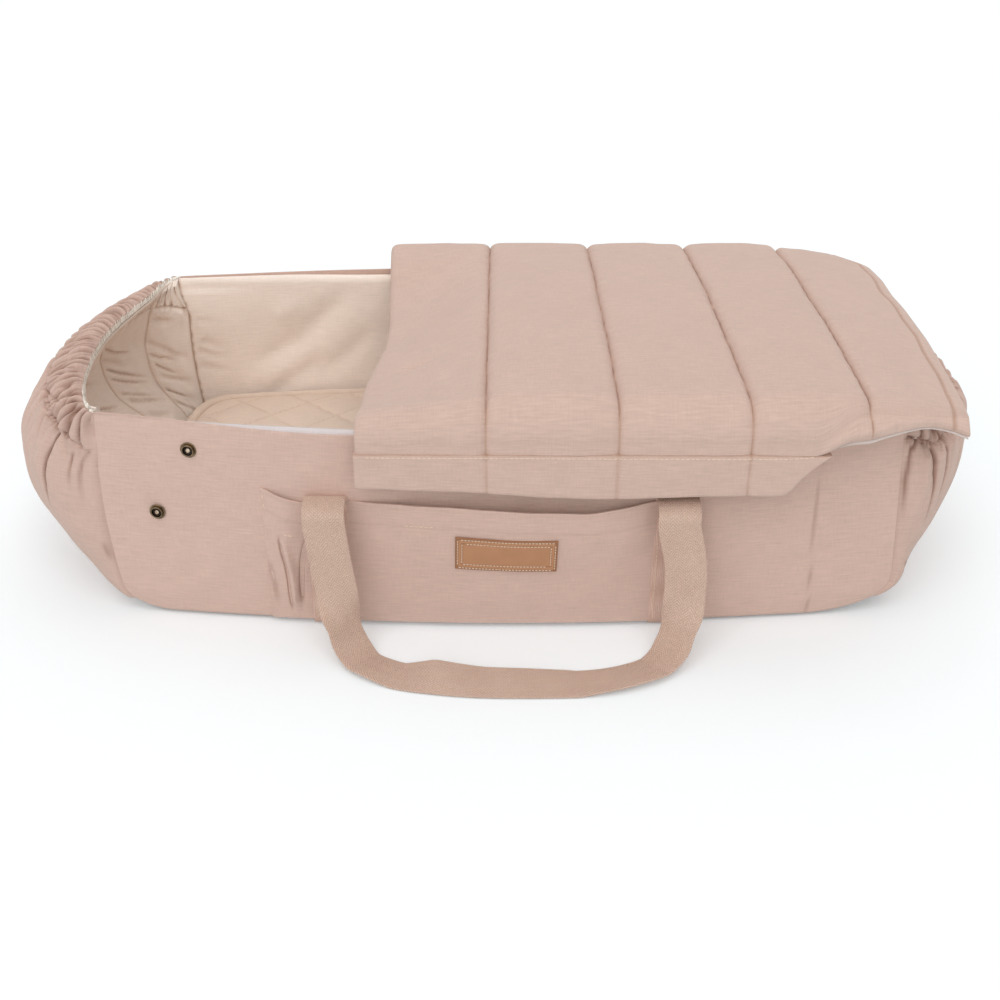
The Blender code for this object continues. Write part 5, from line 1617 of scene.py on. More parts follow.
    def hem(self, side: Side) -> bpy.types.Object:
        """The folded hem band along one long edge, cut away in a curve at its foot end."""
        xs = steps(self.head_x, (0.190, 190), (self.hem_end, 52))
        x, s = np.meshgrid(xs, np.linspace(0, 1, 26), indexing="ij")
        bottom = np.interp(xs, *zip(*HEM_EDGE))[:, None]
        z = mix(self.hem_top + 0.0002, bottom, s)
        round_low = np.clip((z - bottom) / 0.0030, 0, 1)
        gap, _ = self.seam_gap(x, 0 * x - 0.19, True)
        pinch = -0.0010 * bell(gap, 0.0016) * smooth(s / 0.1)
        edge = -0.0009 * bell(z - self.hem_top, 0.0007)
        wave = (0.0005 * ripples(x, z, 0.045, 71) + 0.0012 * np.sin(x * 23 + 1.0) * s) * smooth(s * 2)
        y = self.half_wide - 0.0008 + 0.0030 * arch(round_low) + pinch + edge + wave
        inner = self.half_wide - 0.0070 + 0.0006 * (1 - round_low) + wave
        front, back = (np.stack([x, side.value * part, z], -1) for part in (y, inner))
        # Painted shade at the channel seams and under the hem's top fold.
        hollow = 0.4 * bell(gap, 0.0009) + 0.5 * bell(z - self.hem_top, 0.0006)
        cloth = self.finishes["cover_cotton_cloth"]
        made = shell(f"cover_{side.word}_hem", front, back, cloth, hollow, np.stack([x, 0.21 - z], -1), sharp=70)
        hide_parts(f"cover_head_hem_{side.word}", f"cover_foot_hem_{side.word}")
        row = np.linspace(0, len(xs) - 1, 400)[8:-22]
        line, lift = on_grid(front, facing(front, (0, 0, 0.13)), row, np.full(len(row), 1.6), 0.0)
        self.threads.add(line, lift)
        self.across_fold(made)
        return made

    def tapes(self) -> None:
        """The loop tapes on the tub and the hook tapes inside the hems."""
        for side in Side:
            for kind, body in (("loop", "cot"), ("hook", "cover_head")):
                node = f"{side.word}_{kind}_tape"
                low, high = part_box(node)
                x, z = np.meshgrid(*(np.linspace(low[k], high[k], n) for k, n in ((0, 120), (2, 18))), indexing="ij")
                tub_x = x - FORM.shift
                if kind == "loop":
                    inner = FORM.face_y(tub_x, z) + 0.0006
                    outer = inner + 0.0018 + 0.0002 * ripples(x, z, 0.006, 73)
                else:
                    outer, inner = 0.1857, 0.1836 + 0.0002 * ripples(x, z, 0.006, 74)
                faces = [np.stack(np.broadcast_arrays(tub_x, side.value * part, z), -1) for part in (outer, inner)]
                pile, uv = self.finishes[f"{kind}_pile"], np.stack([x, z], -1)
                made = shell(f"{side.word}_{kind}_strip", faces[0], faces[1], pile, None, uv)
                dress(made, "hook_and_loop", body, node)

    def across_fold(self, made: bpy.types.Object) -> None:
        """Bakes a piece's transform into its mesh."""
        seam = self.head_x + self.fold_seam * self.pitch + FORM.shift
        seam + 0.016
        seam - 0.016
        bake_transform(made)

    def build(self) -> None:
        """Builds the whole cover."""
        self.quilt()
        self.lining()
        for side in Side:
            self.hem(side)
        self.tapes()
        rows = self.threads.make()
        self.across_fold(rows)


LONG_EDGE: tuple[Point, ...] = (
    (-0.11, 0.1503), (0.2250, 0.1503), (0.2290, 0.1518), (0.2342, 0.1553), (0.2450, 0.1612), (0.2545, 0.1638),
    (0.2697, 0.1659), (0.2848, 0.1678), (0.308, 0.1702), (0.322, 0.1692), (0.331, 0.1674), (0.336, 0.1654),
    (0.345, 0.1645),
)
HEAD_SAG: tuple[Point, ...] = (
    (-0.21, 0.0), (-0.194, 0.0), (-0.186, 0.004), (-0.176, 0.011), (-0.160, 0.017), (-0.130, 0.022), (-0.085, 0.027),
    (-0.03, 0.031), (0.03, 0.034), (0.08, 0.033), (0.115, 0.024), (0.145, 0.009), (0.175, 0.0), (0.21, 0.0),
)
COVER_FOLDS = in_mm(
    (((-102, -20), (-75, 10), (-40, 30)), 14, -2.4, (0.05, 0.8)),
    (((-87, -96), (-59.5, -77.4), (-30, -60)), 4.5, -3, (0.35, 0.6)),
)
FOOT_EDGE: tuple[Point, ...] = (
    (-0.200, 0.0195), (-0.189, 0.0185), (-0.164, 0.0145), (-0.138, 0.0125), (-0.110, 0.0105), (-0.081, 0.0085),
    (-0.049, 0.0060), (-0.016, 0.0050), (0.019, 0.0035), (0.057, 0.0035), (0.097, 0.0), (0.140, 0.0),
    (0.164, 0.0120), (0.200, 0.0300),
)
HEAD_EDGE: tuple[Point, ...] = (
    (-0.200, 0.001), (-0.150, 0.0005), (-0.100, -0.0007), (-0.050, 0.003), (0.0, 0.006), (0.050, 0.005),
    (0.090, 0.002), (0.180, -0.0024), (0.200, -0.0024),
)
HEM_EDGE: tuple[Point, ...] = (
    (-0.110, 0.1234), (-0.099, 0.1230), (-0.060, 0.1217), (-0.012, 0.1206), (0.035, 0.1172), (0.080, 0.1156),
    (0.120, 0.1164),
    (0.163, 0.1176), (0.190, 0.1179), (0.1965, 0.1184), (0.2005, 0.1222), (0.2050, 0.1292), (0.2120, 0.1376),
    (0.2200, 0.1448), (0.2250, 0.1494),
)


# --------------------------------------------------------------------------- mattress


@dataclass
class Mattress:
    """The foam core and the quilted pad with its bound border."""

    finishes: Finishes
    top: float = 0.049
    reach: float = 0.288
    corner: float = 0.262
    half: float = 0.1632
    bow: float = 0.0223
    low: float = 0.0092
    border: float = 0.010
    diamond: float = 0.060
    side_share: float = 0.38

    def outline(self) -> Array:
        """The mattress's plan outline at even steps: bowed long sides and rounded ends."""
        turns = np.linspace(0, FULL_TURN, 40001)
        across, away = np.sin(turns), np.cos(turns)
        power, turned = 2.0 / 6.5, math.atan((1 - self.side_share) / self.side_share)
        inner = np.abs(away) / (np.abs(away) + np.abs(across) + 1e-9)
        start = math.cos(turned) ** power
        grown = np.clip((np.abs(away) ** power - start) / (1 - start), 0, 1)
        end_x = self.corner + (self.reach - self.corner) * grown
        end_y = (self.half - self.bow) * np.clip(np.abs(across) / math.sin(turned), 0, 1) ** power
        side_x = self.corner * inner / self.side_share
        side_y = self.half - self.bow * np.clip(side_x / self.corner, 0, 1) ** 2
        at_end = inner > self.side_share
        x, y = np.where(at_end, end_x, side_x), np.where(at_end, end_y, side_y)
        line = np.stack([x * np.sign(away), y * np.sign(across)], -1)
        run = run_of(line)
        return read_at(np.linspace(0, run[-1], 521)[:-1], run, line)

    def rings(
        self, path: Sequence[Point], name: str, node: str, material: str, slot: str, quilted: bool,
    ) -> bpy.types.Object:
        """A pad lofted through rings of (inset, height), closed in its middle."""
        line = self.outline()
        insets, heights = (np.array(part) for part in zip(*path))
        inset = np.broadcast_to(insets, (len(line), len(insets)))
        height = np.broadcast_to(heights, inset.shape)
        x = line[:, :1] * (self.reach - inset) / self.reach
        y = line[:, 1:] * (self.half - inset) / self.half
        hollow = np.zeros(x.shape)
        if quilted:
            raised = (heights > self.top - 0.012)[None, :]
            inner = smooth((inset - self.border) / 0.006) * raised
            p, q = (x + y) / self.diamond, (x - y) / self.diamond
            half_diamond = self.diamond * math.sqrt(0.5)
            gap = np.minimum(np.abs(p - np.round(p)), np.abs(q - np.round(q))) * half_diamond
            puff = 0.0022 * (1 - np.exp(-gap / 0.0075)) - 0.0006
            border = 0.0016 * np.sin(math.pi * np.clip(inset / self.border, 0, 1)) * raised
            groove = -0.0012 * bell(inset - self.border, 0.0013) * raised
            height = height + puff * inner + border + groove + 0.0006 * ripples(x, y, 0.05, 77) * inner
            # Painted shade in the diamond quilting's seams and in the border's groove.
            hollow = 0.35 * bell(gap, 0.0009) * inner + 0.6 * bell(inset - self.border, 0.0009) * raised
        uv = np.stack([x, y + (self.top - height) * np.sign(y)], -1)
        made = lofted(name, np.stack([x, y, height], -1), uv, self.finishes[material], hollow)
        dress(made, slot, "mattress", node)
        return made

    def build(self) -> None:
        """Builds the foam and the pad."""
        seam = self.top - 0.0068
        foam = [
            (0.004, self.low), (0.001, self.low + 0.0015), (0.0, self.low + 0.005),
            (0.0012, mix(self.low, seam, 0.5)), (0.0, seam - 0.003), (0.0025, seam), (0.03, seam), (0.1, seam),
        ]
        self.rings(foam, "mattress_foam_core", "mattress_foam", "mattress_foam_cells", "foam", False)
        low = seam + 0.0003
        insets = np.concatenate([np.linspace(0.003, 0.016, 14), np.linspace(0.018, 0.152, 68)])
        pad = [
            (0.10, low), (0.03, low), (0.0035, low), (0.0008, low + 0.0012), (0.0, low + 0.003),
            (0.0010, low + 0.0052),
            *((inset, self.top - 0.0004 + 0.0018 * min(inset / 0.04, 1.0)) for inset in insets),
        ]
        self.rings(
            pad, "mattress_quilted_top", "mattress_quilted_pad", "mattress_quilting", "mattress_cotton", True,
        )


# --------------------------------------------------------------------------- pocket and label


@dataclass
class SidePocket:
    """The flat pocket on the front wall and the blank leather label sewn to it."""

    finishes: Finishes
    threads: StitchRows
    label_threads: StitchRows
    head_x: float = -0.169
    foot_x: float = 0.136
    cloth: float = 0.0012
    rows: int = 90
    wall_gap: float = 0.0009
    label_x: float = 0.005
    label_z: float = 0.0668
    label_wide: float = 0.073
    label_high: float = 0.0275
    label_tilt: float = 1.4
    label_rows: Point = (0.0016, 0.0048)
    label_grid: tuple[int, int] = (150, 64)

    def top(self, x: Array) -> Array:
        """The height of the pocket's mouth."""
        return along(POCKET_TOP, x)

    def gape(self, x: Array) -> Array:
        """How far the mouth stands off the wall."""
        return along(POCKET_GAPE, x)

    def low(self) -> float:
        """The height of the pocket's lower edge."""
        return FORM.under + FORM.edge_round * 0.6

    def surface(self, x: Array, share: Array, off: float) -> Array:
        """Points off the pocket's inner face, at a share of the way up it."""
        z = mix(self.low(), self.top(x), share)
        out = FORM.face_y(x, z) + self.wall_gap + self.gape(x) * smooth(share * 1.05) ** 1.2 + off
        return np.stack(np.broadcast_arrays(x, -out, z), -1)

    def pocket(self) -> bpy.types.Object:
        """The pocket with its box pleat, doubled hem and gaping mouth."""
        xs = steps(self.head_x, (-0.105, 90), (self.foot_x, 150))
        x, s = np.meshgrid(xs, np.linspace(0, 1, self.rows), indexing="ij")
        flat = self.surface(x, s, self.cloth)
        z = flat[..., 2]
        creases, narrow = folded(POCKET_FOLDS, x, z)
        swell = 0.0007 * ripples(x, z, 0.06, 81) * smooth((x - self.head_x) / 0.02) * smooth((self.foot_x - x) / 0.02)
        hem = -0.0003 * bell(z - self.top(x) + 0.0175, 0.0008)
        lip = 0.0007 * bell(z - self.top(x) + 0.001, 0.0016)
        under_strap = 1 - 0.85 * smooth((x - 0.104) / 0.006)
        height = (creases + swell * smooth((z - 0.008) / 0.02)) * under_strap + hem + lip
        front, back = flat.copy(), self.surface(x, s, 0.0)
        front[..., 1] -= height
        back[..., 1] -= np.minimum(np.maximum(height, 0) * 0.85, 0.006)
        # Painted shade in the pleat's folds and in the hem's groove.
        hollow = narrow * 0.9 + np.clip(-hem / 0.0008, 0, 0.07)
        cloth = self.finishes["rose_cotton_cloth"]
        made = shell("front_pocket_cloth", front, back, cloth, hollow, np.stack([x, z], -1))
        dress(made, "rose_cotton", "cot", "front_pocket")
        normals = facing(front, (0, 0, 0.05))
        top_row = self.rows - 1
        for places, rows in (
            (np.linspace(-0.068, -0.046, 40), np.full(40, top_row * 0.832)),
            (np.full(30, -0.1675), np.linspace(76, 88, 30)),
            (np.linspace(-0.1555, -0.1475, 20), np.full(20, top_row * 0.705)),
        ):
            columns = np.interp(places, xs, np.arange(len(xs)))
            self.threads.add(*on_grid(front, normals, columns, rows, 0.0))
        return made

    def label(self) -> bpy.types.Object:
        """The bare label with rounded edges and two rows of stitches all round."""
        half_x, half_z = self.label_wide / 2, self.label_high / 2
        columns, rows = self.label_grid
        u, w = np.meshgrid(np.linspace(-half_x, half_x, columns), np.linspace(-half_z, half_z, rows), indexing="ij")
        edge = np.minimum(half_x - np.abs(u), half_z - np.abs(w))
        tilt = math.radians(self.label_tilt)
        x = self.label_x + u * math.cos(tilt) + w * math.sin(tilt)
        z = self.label_z + w * math.cos(tilt) - u * math.sin(tilt) * 0.9 - 0.0006 * np.cos(u * 40)
        share = (z - self.low()) / (self.top(x) - self.low())
        wall = self.surface(x, share, self.cloth + 0.0002)
        pressed = sum(bell(edge - row, 0.00055) for row in self.label_rows)
        front, back = wall.copy(), wall.copy()
        front[..., 1] -= 0.0007 + 0.0010 * arch(edge / 0.0011) - 0.00045 * pressed
        back[..., 1] -= 0.0002
        # Darker towards the label's rounded edges and along its pressed stitch rows.
        hollow = 0.60 * pressed + 0.80 * bell(edge, 0.0013)
        leather = self.finishes["label_leather"]
        made = shell("front_leather_label", front, back, leather, hollow, np.stack([u, w], -1))
        dress(made, "leather", "cot", "leather_patch")
        normals = facing(front, (0, 0, 0.05))
        for inset in self.label_rows:
            ax, az = half_x - inset, half_z - inset
            corners = [(-ax, -az), (ax, -az), (ax, az), (-ax, az), (-ax, -az)]
            for (x0, z0), (x1, z1) in zip(corners[:-1], corners[1:]):
                t = np.linspace(0, 1, 90)
                iu = (mix(x0, x1, t) + half_x) / self.label_wide * (columns - 1)
                iw = (mix(z0, z1, t) + half_z) / self.label_high * (rows - 1)
                self.label_threads.add(*on_grid(front, normals, iu, iw, 0.0001))
        return made

    def build(self) -> None:
        """Builds the pocket and its label."""
        self.pocket()
        self.label()


POCKET_TOP: tuple[Point, ...] = (
    (-0.175, 0.1145), (-0.1673, 0.1138), (-0.1596, 0.1094), (-0.1504, 0.1068), (-0.1392, 0.1034), (-0.110, 0.1056),
    (-0.060, 0.1053), (-0.014, 0.1040), (0.020, 0.1027), (0.065, 0.1008), (0.090, 0.1035), (0.108, 0.1062),
    (0.140, 0.1068),
)
POCKET_GAPE: tuple[Point, ...] = (
    (-0.175, 0.0), (-0.167, 0.0003), (-0.152, 0.0036), (-0.141, 0.0012), (-0.106, 0.0004), (-0.085, 0.0022),
    (-0.040, 0.0048),
    (0.010, 0.0086), (0.060, 0.0086), (0.090, 0.0045), (0.107, 0.0004), (0.140, 0.0),
)
POCKET_FOLDS = in_mm(
    (((-157, 82), (-158.8, 71.1), (-157.2, 60), (-155.2, 50), (-154.3, 38.7), (-154, 20.8),
     (-153, 8)), 1.7, -5.2, (0.45, 0.25), Profile.TUCK),
    (((-139.5, 76), (-140.4, 68), (-143.5, 51.6), (-145.5, 29), (-145, 14)), 1.4, -3.8, (0.35, 0.4)),
    (((-169, 60), (-165, 35), (-163, 12)), 2, -1.2, (0.4, 0.3)),
    (((-70, 20), (10, 28), (90, 22)), 14, 1.6, (0.3, 0.3)),
    (((60, 90), (85, 78), (100, 60)), 10, 1.8, (0.3, 0.4)),
)


# --------------------------------------------------------------------------- webbing


@dataclass
class Webbing:
    """The two straps sewn round the tub and the two handle loops."""

    finishes: Finishes
    threads: StitchRows
    width: float = 0.030
    thick: float = 0.0016
    strap_x: float = 0.124
    strap_top: float = 0.104
    fold_rise: float = 0.0115
    fold_angle: float = 148.0
    pivot_y: float = 0.198
    pivot_play: float = 0.0013
    reach: float = 0.054
    crest: int = 16
    nudge: float = 0.0015
    twist: float = 2.6
    fold_steps: int = 26
    wall_steps: int = 40
    stitch_offset: float = 0.0118
    route: tuple[tuple[float, float, float], ...] = (
        (-0.492, 0.00, 1.00), (-0.492, 0.00, 0.95), (-0.491, 0.00, 0.90), (-0.480, 0.03, 0.68),
        (-0.466, 0.08, 0.45), (-0.451, 0.18, 0.24), (-0.424, 0.35, 0.09), (-0.366, 0.62, 0.01),
        (-0.258, 0.85, 0.00), (-0.095, 0.98, 0.00), (0.110, 1.00, 0.00), (0.280, 0.95, 0.00),
        (0.402, 0.77, 0.01), (0.478, 0.52, 0.07), (0.516, 0.28, 0.22), (0.531, 0.12, 0.42),
        (0.529, 0.04, 0.65), (0.507, 0.00, 0.90), (0.505, 0.00, 0.95), (0.505, 0.00, 1.00),
    )
    leans: tuple[Point, ...] = (
        (-0.50, -8), (-0.36, -8), (-0.30, -2), (-0.19, 16), (-0.05, 8),
        (0.08, 6), (0.20, 2), (0.29, -6), (0.40, -10), (0.55, -8),
    )

    def strap_half(self, x: float, side: Side) -> Array:
        """The strap's middle line on one side in (y, z), from its fold down to the floor."""
        middle = side.pick(0.0018, 0.0003) + self.thick / 2
        sewn = float(FORM.face_y(x, self.strap_top)) + middle
        angle = math.radians(self.fold_angle)
        away = np.array([math.cos(angle), math.sin(angle)])
        end = np.array([self.pivot_y, self.strap_top]) + self.pivot_play * away
        guides = (
            end, end + 0.40 * (self.pivot_y - sewn) * away,
            np.array([sewn, self.strap_top + self.fold_rise]), np.array([sewn, self.strap_top]),
        )
        t = np.linspace(0, 1, self.fold_steps)[:, None]
        fold = sum(math.comb(3, k) * (1 - t) ** (3 - k) * t**k * guide for k, guide in enumerate(guides))
        centre = FORM.under + FORM.edge_round
        z = np.linspace(self.strap_top, centre, self.wall_steps)[1:]
        wall = np.stack([FORM.face_y(x, z) + middle, z], -1)
        turns = np.linspace(0, math.pi / 2, 9)[1:]
        inner = float(FORM.face_y(x, centre)) - FORM.edge_round
        radius = FORM.edge_round + middle
        edge = np.stack([inner + radius * np.cos(turns), centre - (centre - self.thick / 2) * np.sin(turns)], -1)
        return np.concatenate([fold, wall, edge])

    def band(self, centre: Array, edge: Array, face: Array, name: str, material: str) -> bpy.types.Object:
        """A webbing band with rounded picot edges along a line of points.

        Args:
            centre: Points of the middle line.
            edge: Unit vectors across the band.
            face: Unit vectors out of its face.
            name: The piece's name.
            material: Its finish.

        Returns:
            The new object.
        """
        run = run_of(centre)
        even = np.linspace(0, run[-1], int(run[-1] / 0.00075))
        c, e, f = (read_at(even, run, line)[:, None] for line in (centre, edge, face))
        rim = ((-1.0, 0.0), (-0.985, 0.62), (-0.95, 0.9), (-0.90, 0.78), (-0.85, 0.92))
        upper = [*rim, *((t, 1.0) for t in np.linspace(-0.78, 0.78, 9)), *((-a, h) for a, h in rim[:0:-1])]
        outline = np.array(upper + [(1.0, 0.0)] + [(a, -h) for a, h in upper[:0:-1]])
        across, lift = outline.T
        picot = 1.0 + 0.014 * np.sin(even / 0.0015 * FULL_TURN)
        w = across * self.width / 2 * np.where(np.abs(across) > 0.97, picot[:, None], 1.0)
        h = np.broadcast_to(lift * self.thick / 2, w.shape)
        points = c + e * w[..., None] + f * h[..., None]
        uv = np.stack([w, np.broadcast_to(even[:, None], w.shape)], -1)
        made = lofted(name, points.transpose(1, 0, 2), uv.transpose(1, 0, 2), self.finishes[material])
        return made

    def eased(self, line: Array) -> Array:
        """A line at even steps of 1 mm, with its kinks rounded and its ends kept."""
        run = run_of(line)
        even = read_at(np.linspace(0, run[-1], int(run[-1] / MM)), run, line)
        kernel = np.hanning(15) / np.hanning(15).sum()
        padded = np.pad(even, ((7, 7), (0, 0)), mode="reflect", reflect_type="odd")
        return np.stack([np.convolve(padded[:, k], kernel, mode="valid") for k in range(3)], -1)

    def strap(self, x: float, word: str) -> bpy.types.Object:
        """One strap, sewn up both sides and under the floor."""
        front, back = (self.strap_half(x, side)[self.crest:] for side in Side)
        front[:, 0] *= -1
        back = back[::-1]
        middle = np.linspace(front[-1], back[0], 60)
        line = np.concatenate([front[:-1], middle, back[1:]])
        centre = np.stack([np.full(len(line), x + self.nudge), line[:, 0], line[:, 1]], -1)
        edge = np.tile([1.0, 0.0, 0.0], (len(line), 1))
        face = np.cross(unit(np.gradient(centre, axis=0)), edge)
        made = self.band(centre, edge, face, f"{word}_strap_webbing", "sewn_webbing")
        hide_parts(f"{word}_carry_strap")
        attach(made, "cot")
        outward = face * (-1.0 if face[len(line) // 2, 2] > 0 else 1.0)
        skip = self.fold_steps - self.crest
        for offset in (-self.stitch_offset, self.stitch_offset):
            rows = centre + edge * offset + outward * self.thick / 2
            for first in (skip, len(rows) - skip - self.wall_steps):
                part = slice(first, first + self.wall_steps)
                self.threads.add(rows[part], outward[part])
        return made

    def handle_line(self, side: Side) -> Array:
        """A handle's middle line, from fold to fold over the ground."""
        scale = np.array([2 * self.strap_x, side.value * self.reach, self.strap_top])
        knots = np.array(self.route) * scale + np.array([0.0, side.value * self.pivot_y, 0.0])
        where = np.linspace(0, len(knots) - 1, 400)
        loop = np.stack([through(knots[:, k], where) for k in range(3)], -1)
        folds = []
        for x in (-self.strap_x, self.strap_x):
            line = self.strap_half(x, side)[self.crest::-1]
            folds.append(np.stack([np.full(len(line), x + self.nudge), side.value * line[:, 0], line[:, 1]], -1))
        return self.eased(np.concatenate([folds[0], loop[3:-3], folds[1][::-1]]))

    def handle(self, side: Side) -> bpy.types.Object:
        """One handle loop that hangs from its two folds and lies on the ground."""
        centre = self.handle_line(side)
        step = unit(np.gradient(centre, axis=0))
        lying = 1.0 - smooth((centre[:, 2] - 0.004) / 0.046)
        lean = np.radians(along(self.leans, centre[:, 0] / (2 * self.strap_x)))
        upward = np.stack([0 * lean, side.value * np.sin(lean), np.cos(lean)], -1)
        outward = np.tile([0.0, float(side.value), 0.0], (len(centre), 1))
        edge = unit(np.cross(step, mix(outward, upward, lying[:, None])))
        level = np.stack([side.value * np.abs(1 - lying), lying * np.sign(centre[:, 0] + 1e-6), 0 * lying], -1)
        level = unit(level - step * np.sum(step * level, axis=1, keepdims=True))
        level *= np.sign(np.sum(level * edge, axis=1, keepdims=True))
        edge = unit(edge + self.twist * (1 - smooth(np.abs(lying - 0.5) / 0.5))[:, None] * level)
        face = np.cross(step, edge)
        half, thin = self.width / 2, self.thick / 2
        lowest = centre[:, 2] - np.abs(edge[:, 2]) * half - np.abs(face[:, 2]) * thin
        centre[:, 2] += np.maximum(0.0, 0.0004 - lowest)
        name = f"{side.word}_handle"
        made = self.band(centre, edge, face, f"{name}_webbing", "strap_webbing")
        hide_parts(name)
        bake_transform(made)
        return made

    def build(self) -> None:
        """Builds straps and handles."""
        self.strap(-self.strap_x, "head")
        self.strap(self.strap_x, "foot")
        for side in Side:
            self.handle(side)


# --------------------------------------------------------------------------- small hard parts


@dataclass
class PressStuds:
    """The four antique-brass press studs, finely turned."""

    finishes: Finishes
    sides: int = 48
    ring_bands: int = 16
    socket_bands: int = 21

    def profile(self) -> list[Point]:
        """Radius and height of a stud's turned outline, from its post to its centre."""
        def bead(radius: float, height: float, size: float, stop: float, count: int) -> list[Point]:
            """A rounded part of the outline, from its outer side over its top."""
            turns = np.linspace(0, stop, count)
            return [(radius + size * math.cos(a), height + size * math.sin(a)) for a in turns]

        return [
            (0.0018, -0.0030), (0.0018, 0.0004), (0.0052, 0.0004), (0.0058, 0.0005),
            *bead(0.0055, 0.0009, 0.0004, math.pi / 2, 5), (0.0050, 0.00125), (0.0045, 0.0011),
            *bead(0.0040, 0.0026, 0.0004, math.pi, 7), (0.0033, 0.0013), (0.0030, 0.0009), (0.0022, 0.0008),
            (0.0017, 0.0009), *bead(0.0013, 0.0017, 0.00025, math.pi, 5), (0.0009, 0.0012), (0.0006, 0.0011),
        ]

    def stud(self, level: str, side: Side) -> bpy.types.Object:
        """One stud, seated where its node is."""
        node = f"{side.word}_{level}_stud"
        low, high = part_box(node)
        x, z = (low[0] + high[0]) / 2 - FORM.shift, np.array((low[2] + high[2]) / 2)
        seat = np.array([x, side.value * float(FORM.face_y(x, z)), float(z)])
        lean = 2 * float(FORM.bow(z)) * x / float(FORM.corner(z)) ** 2
        axis = Vector((lean, side.value, 0.0)).normalized()
        turn = np.array(Vector((0, 0, 1)).rotation_difference(axis).to_matrix())
        round_ = FULL_TURN * np.arange(self.sides) / self.sides
        rings = [
            np.stack([radius * np.cos(round_), radius * np.sin(round_), np.full(self.sides, height)], -1)
            for radius, height in self.profile()
        ]
        points = np.stack(rings, 1) @ turn.T + seat
        brass = self.finishes["aged_brass"]
        made = lofted(f"{side.word}_{level}_press_stud", points, points[..., :2], brass, sharp=50)
        for name in ("blackened_brass", "rubbed_post"):
            made.data.materials.append(self.finishes[name])
        band = np.arange(self.sides * (points.shape[1] - 1)) % (points.shape[1] - 1)
        kinds = np.select([band < self.ring_bands, band < self.socket_bands], [0, 1], 2)
        kinds = np.append(kinds, np.repeat([0, 2], self.sides)).astype(np.int32)
        made.data.polygons.foreach_set("material_index", kinds)
        dress(made, "antique_brass", "cot", node)
        return made

    def build(self) -> None:
        """Builds the four studs."""
        for side in Side:
            for level in ("upper", "lower"):
                self.stud(level, side)


@dataclass
class KeptNodes:
    """CAD nodes whose shape stays, dressed in their finishes."""

    finishes: Finishes
    nodes: dict[str, bpy.types.Object]

    def build(self) -> None:
        """Gives the rings behind the studs their brass."""
        for name in (f"{side.word}_{level}_stud_back" for side in Side for level in ("upper", "lower")):
            node = self.nodes[name]
            if not node.material_slots:
                node.data.materials.append(None)
            for slot in node.material_slots:
                slot.material = self.finishes["aged_brass"]


# --------------------------------------------------------------------------- the studio


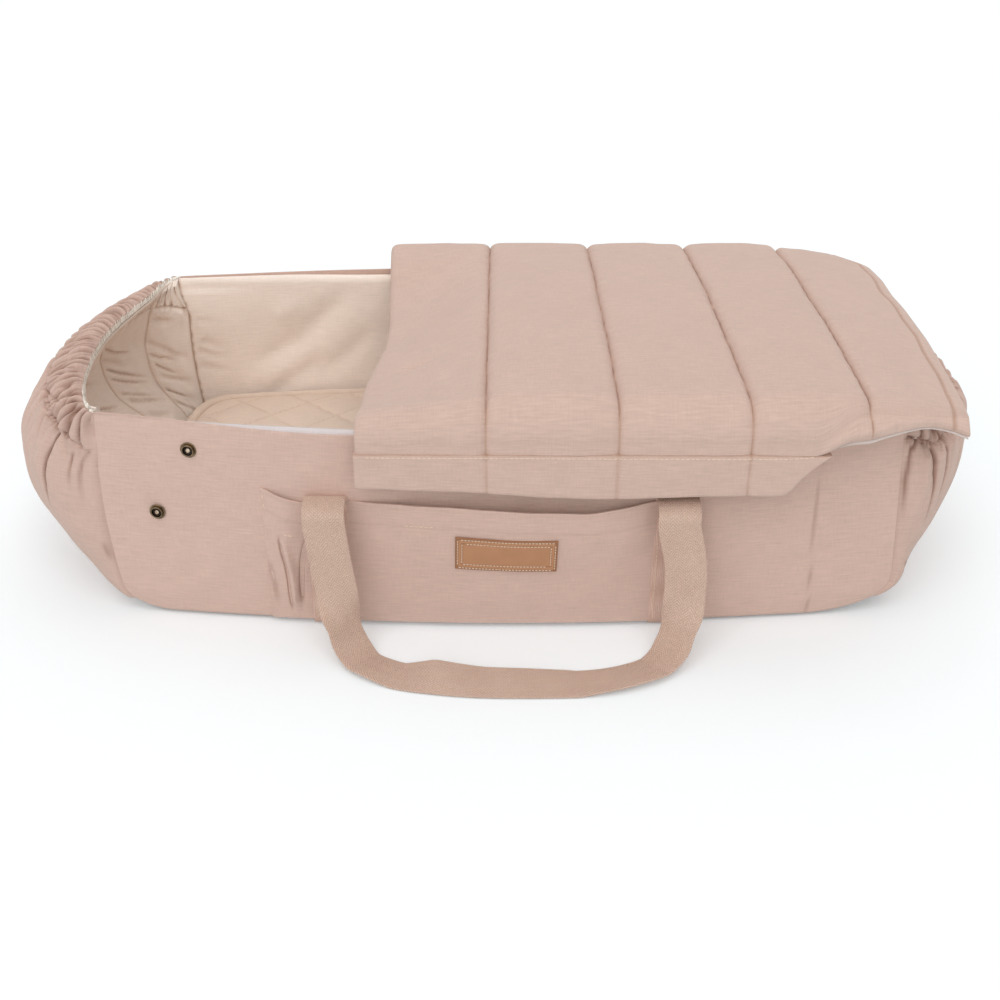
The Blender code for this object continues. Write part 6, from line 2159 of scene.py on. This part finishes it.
@dataclass
class Studio:
    """Camera, lamps, white surroundings and the floor that keeps the shadow."""

    focal: float = 1224.84
    picture: float = 1000.0
    sensor: float = 36.0
    pitch: float = 28.31
    roll: float = 0.13
    place: tuple[float, float, float] = (0.0085, -0.9377, 0.5159)
    ambient: float = 0.555
    floor_colour: tuple[float, float, float] = (0.828, 0.866, 0.884)
    floor_glow: float = 0.165
    floor_reach: float = 9.0
    lamps: tuple[tuple[str, float, float, tuple[float, float, float]], ...] = (
        ("broad_lamp", 1.42, 74.0, (0.14, 0.67, -0.73)),
        ("top_lamp", 0.50, 60.0, (-0.05, -0.50, -0.86)),
    )

    def camera(self) -> None:
        """The camera at the photograph's viewing angle."""
        data = bpy.data.cameras.new("camera")
        data.sensor_width = self.sensor
        data.lens = self.focal * self.sensor / self.picture
        data.clip_start, data.clip_end = 0.01, 50.0
        camera = linked("camera", data)
        tilt = Matrix.Rotation(math.radians(90 - self.pitch), 4, "X")
        turn = tilt @ Matrix.Rotation(math.radians(self.roll), 4, "Z")
        camera.matrix_world = Matrix.Translation(self.place) @ turn
        bpy.context.scene.camera = camera

    def seen(self, desk: Desk) -> Wire:
        """1 where the camera sees something by itself or through clear or shiny things, else 0."""
        rays = desk.node("ShaderNodeLightPath")
        seen = rays.out("Is Camera Ray") + rays.out("Is Glossy Ray") + rays.out("Is Transmission Ray")
        return seen.capped()

    def surroundings(self) -> None:
        """Plain soft light all round, seen as white."""
        desk = Desk("studio", "worlds")
        bpy.context.scene.world = desk.owner
        values = {"Value": self.seen(desk), "To Min": self.ambient, "To Max": 1.0}
        level = desk.node("ShaderNodeMapRange", None, values).out(0)
        light = desk.node("ShaderNodeBackground", None, {"Color": (1.0, 1.0, 1.0, 1.0), "Strength": level})
        desk.node("ShaderNodeOutputWorld", None, {"Surface": light.out(0)})

    def light(self) -> None:
        """A broad soft lamp from the front and above, and a weaker one from behind and above."""
        for name, energy, angle, towards in self.lamps:
            data = bpy.data.lights.new(name, "SUN")
            data.energy, data.angle = energy, math.radians(angle)
            linked(name, data).rotation_euler = Vector(towards).to_track_quat("-Z", "Y").to_euler()

    def floor(self) -> None:
        """The white floor, which keeps the object's shadow."""
        desk = Desk("white_floor")
        glow = {"Color": (1, 1, 1, 1), "Strength": self.seen(desk) * self.floor_glow}
        mottle = 1.0 + desk.noise(desk.place(), 3.0, 2.0) * 0.01
        diffuse = desk.node("ShaderNodeBsdfDiffuse", None, {"Color": desk.shade(self.floor_colour, mottle)})
        emission = desk.node("ShaderNodeEmission", None, glow)
        both = desk.node("ShaderNodeAddShader", None, {0: diffuse.out(0), 1: emission.out(0)})
        desk.node("ShaderNodeOutputMaterial", None, {"Surface": both.out(0)})
        places = np.linspace(-self.floor_reach, self.floor_reach, 9)
        x, y = np.meshgrid(places, places, indexing="ij")
        points = np.stack([x, y, np.zeros(x.shape)], -1).reshape(-1, 3)
        mesh = bpy.data.meshes.new("floor")
        mesh.from_pydata(points.tolist(), [], grid_faces(*x.shape).tolist())
        mesh.materials.append(desk.owner)
        linked("floor", mesh)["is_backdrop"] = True

    def build(self) -> None:
        """Builds the studio."""
        self.camera()
        self.surroundings()
        self.light()
        self.floor()
        bpy.context.scene.view_settings.view_transform = "Standard"


def main() -> None:
    """Builds the carrycot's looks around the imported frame."""
    global FORM
    logging.basicConfig(level=logging.INFO, format="%(message)s")
    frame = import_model()
    low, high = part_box("front_outer_panel")
    FORM = TubForm(shift=(low[0] + high[0]) / 2)
    finishes = Finishes()
    Studio().build()
    seams = StitchRows("cot_seam_stitches", finishes["cream_thread"])
    label_seams = StitchRows("label_stitches", finishes["cream_thread"], 0.0013, 0.0011, 0.00030)
    cover_seams = StitchRows("cover_stitches", finishes["cream_thread"])
    builders = [
        KeptNodes(finishes, frame["nodes"]),
        Boards(finishes),
        OuterShell(finishes),
        Linings(finishes),
        Mattress(finishes),
        SidePocket(finishes, seams, label_seams),
        Webbing(finishes, seams),
        PressStuds(finishes),
        QuiltedCover(finishes, cover_seams),
    ]
    for builder in builders:
        builder.build()
        LOG.info("built %s", type(builder).__name__)
    for rows, slot in ((seams, "cream_cotton"), (label_seams, "leather")):
        made = rows.make()
        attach(made, "cot")
    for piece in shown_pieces():
        LOG.info("piece %s: %d faces", piece.name, len(piece.data.polygons))


if __name__ == "__main__":
    main()
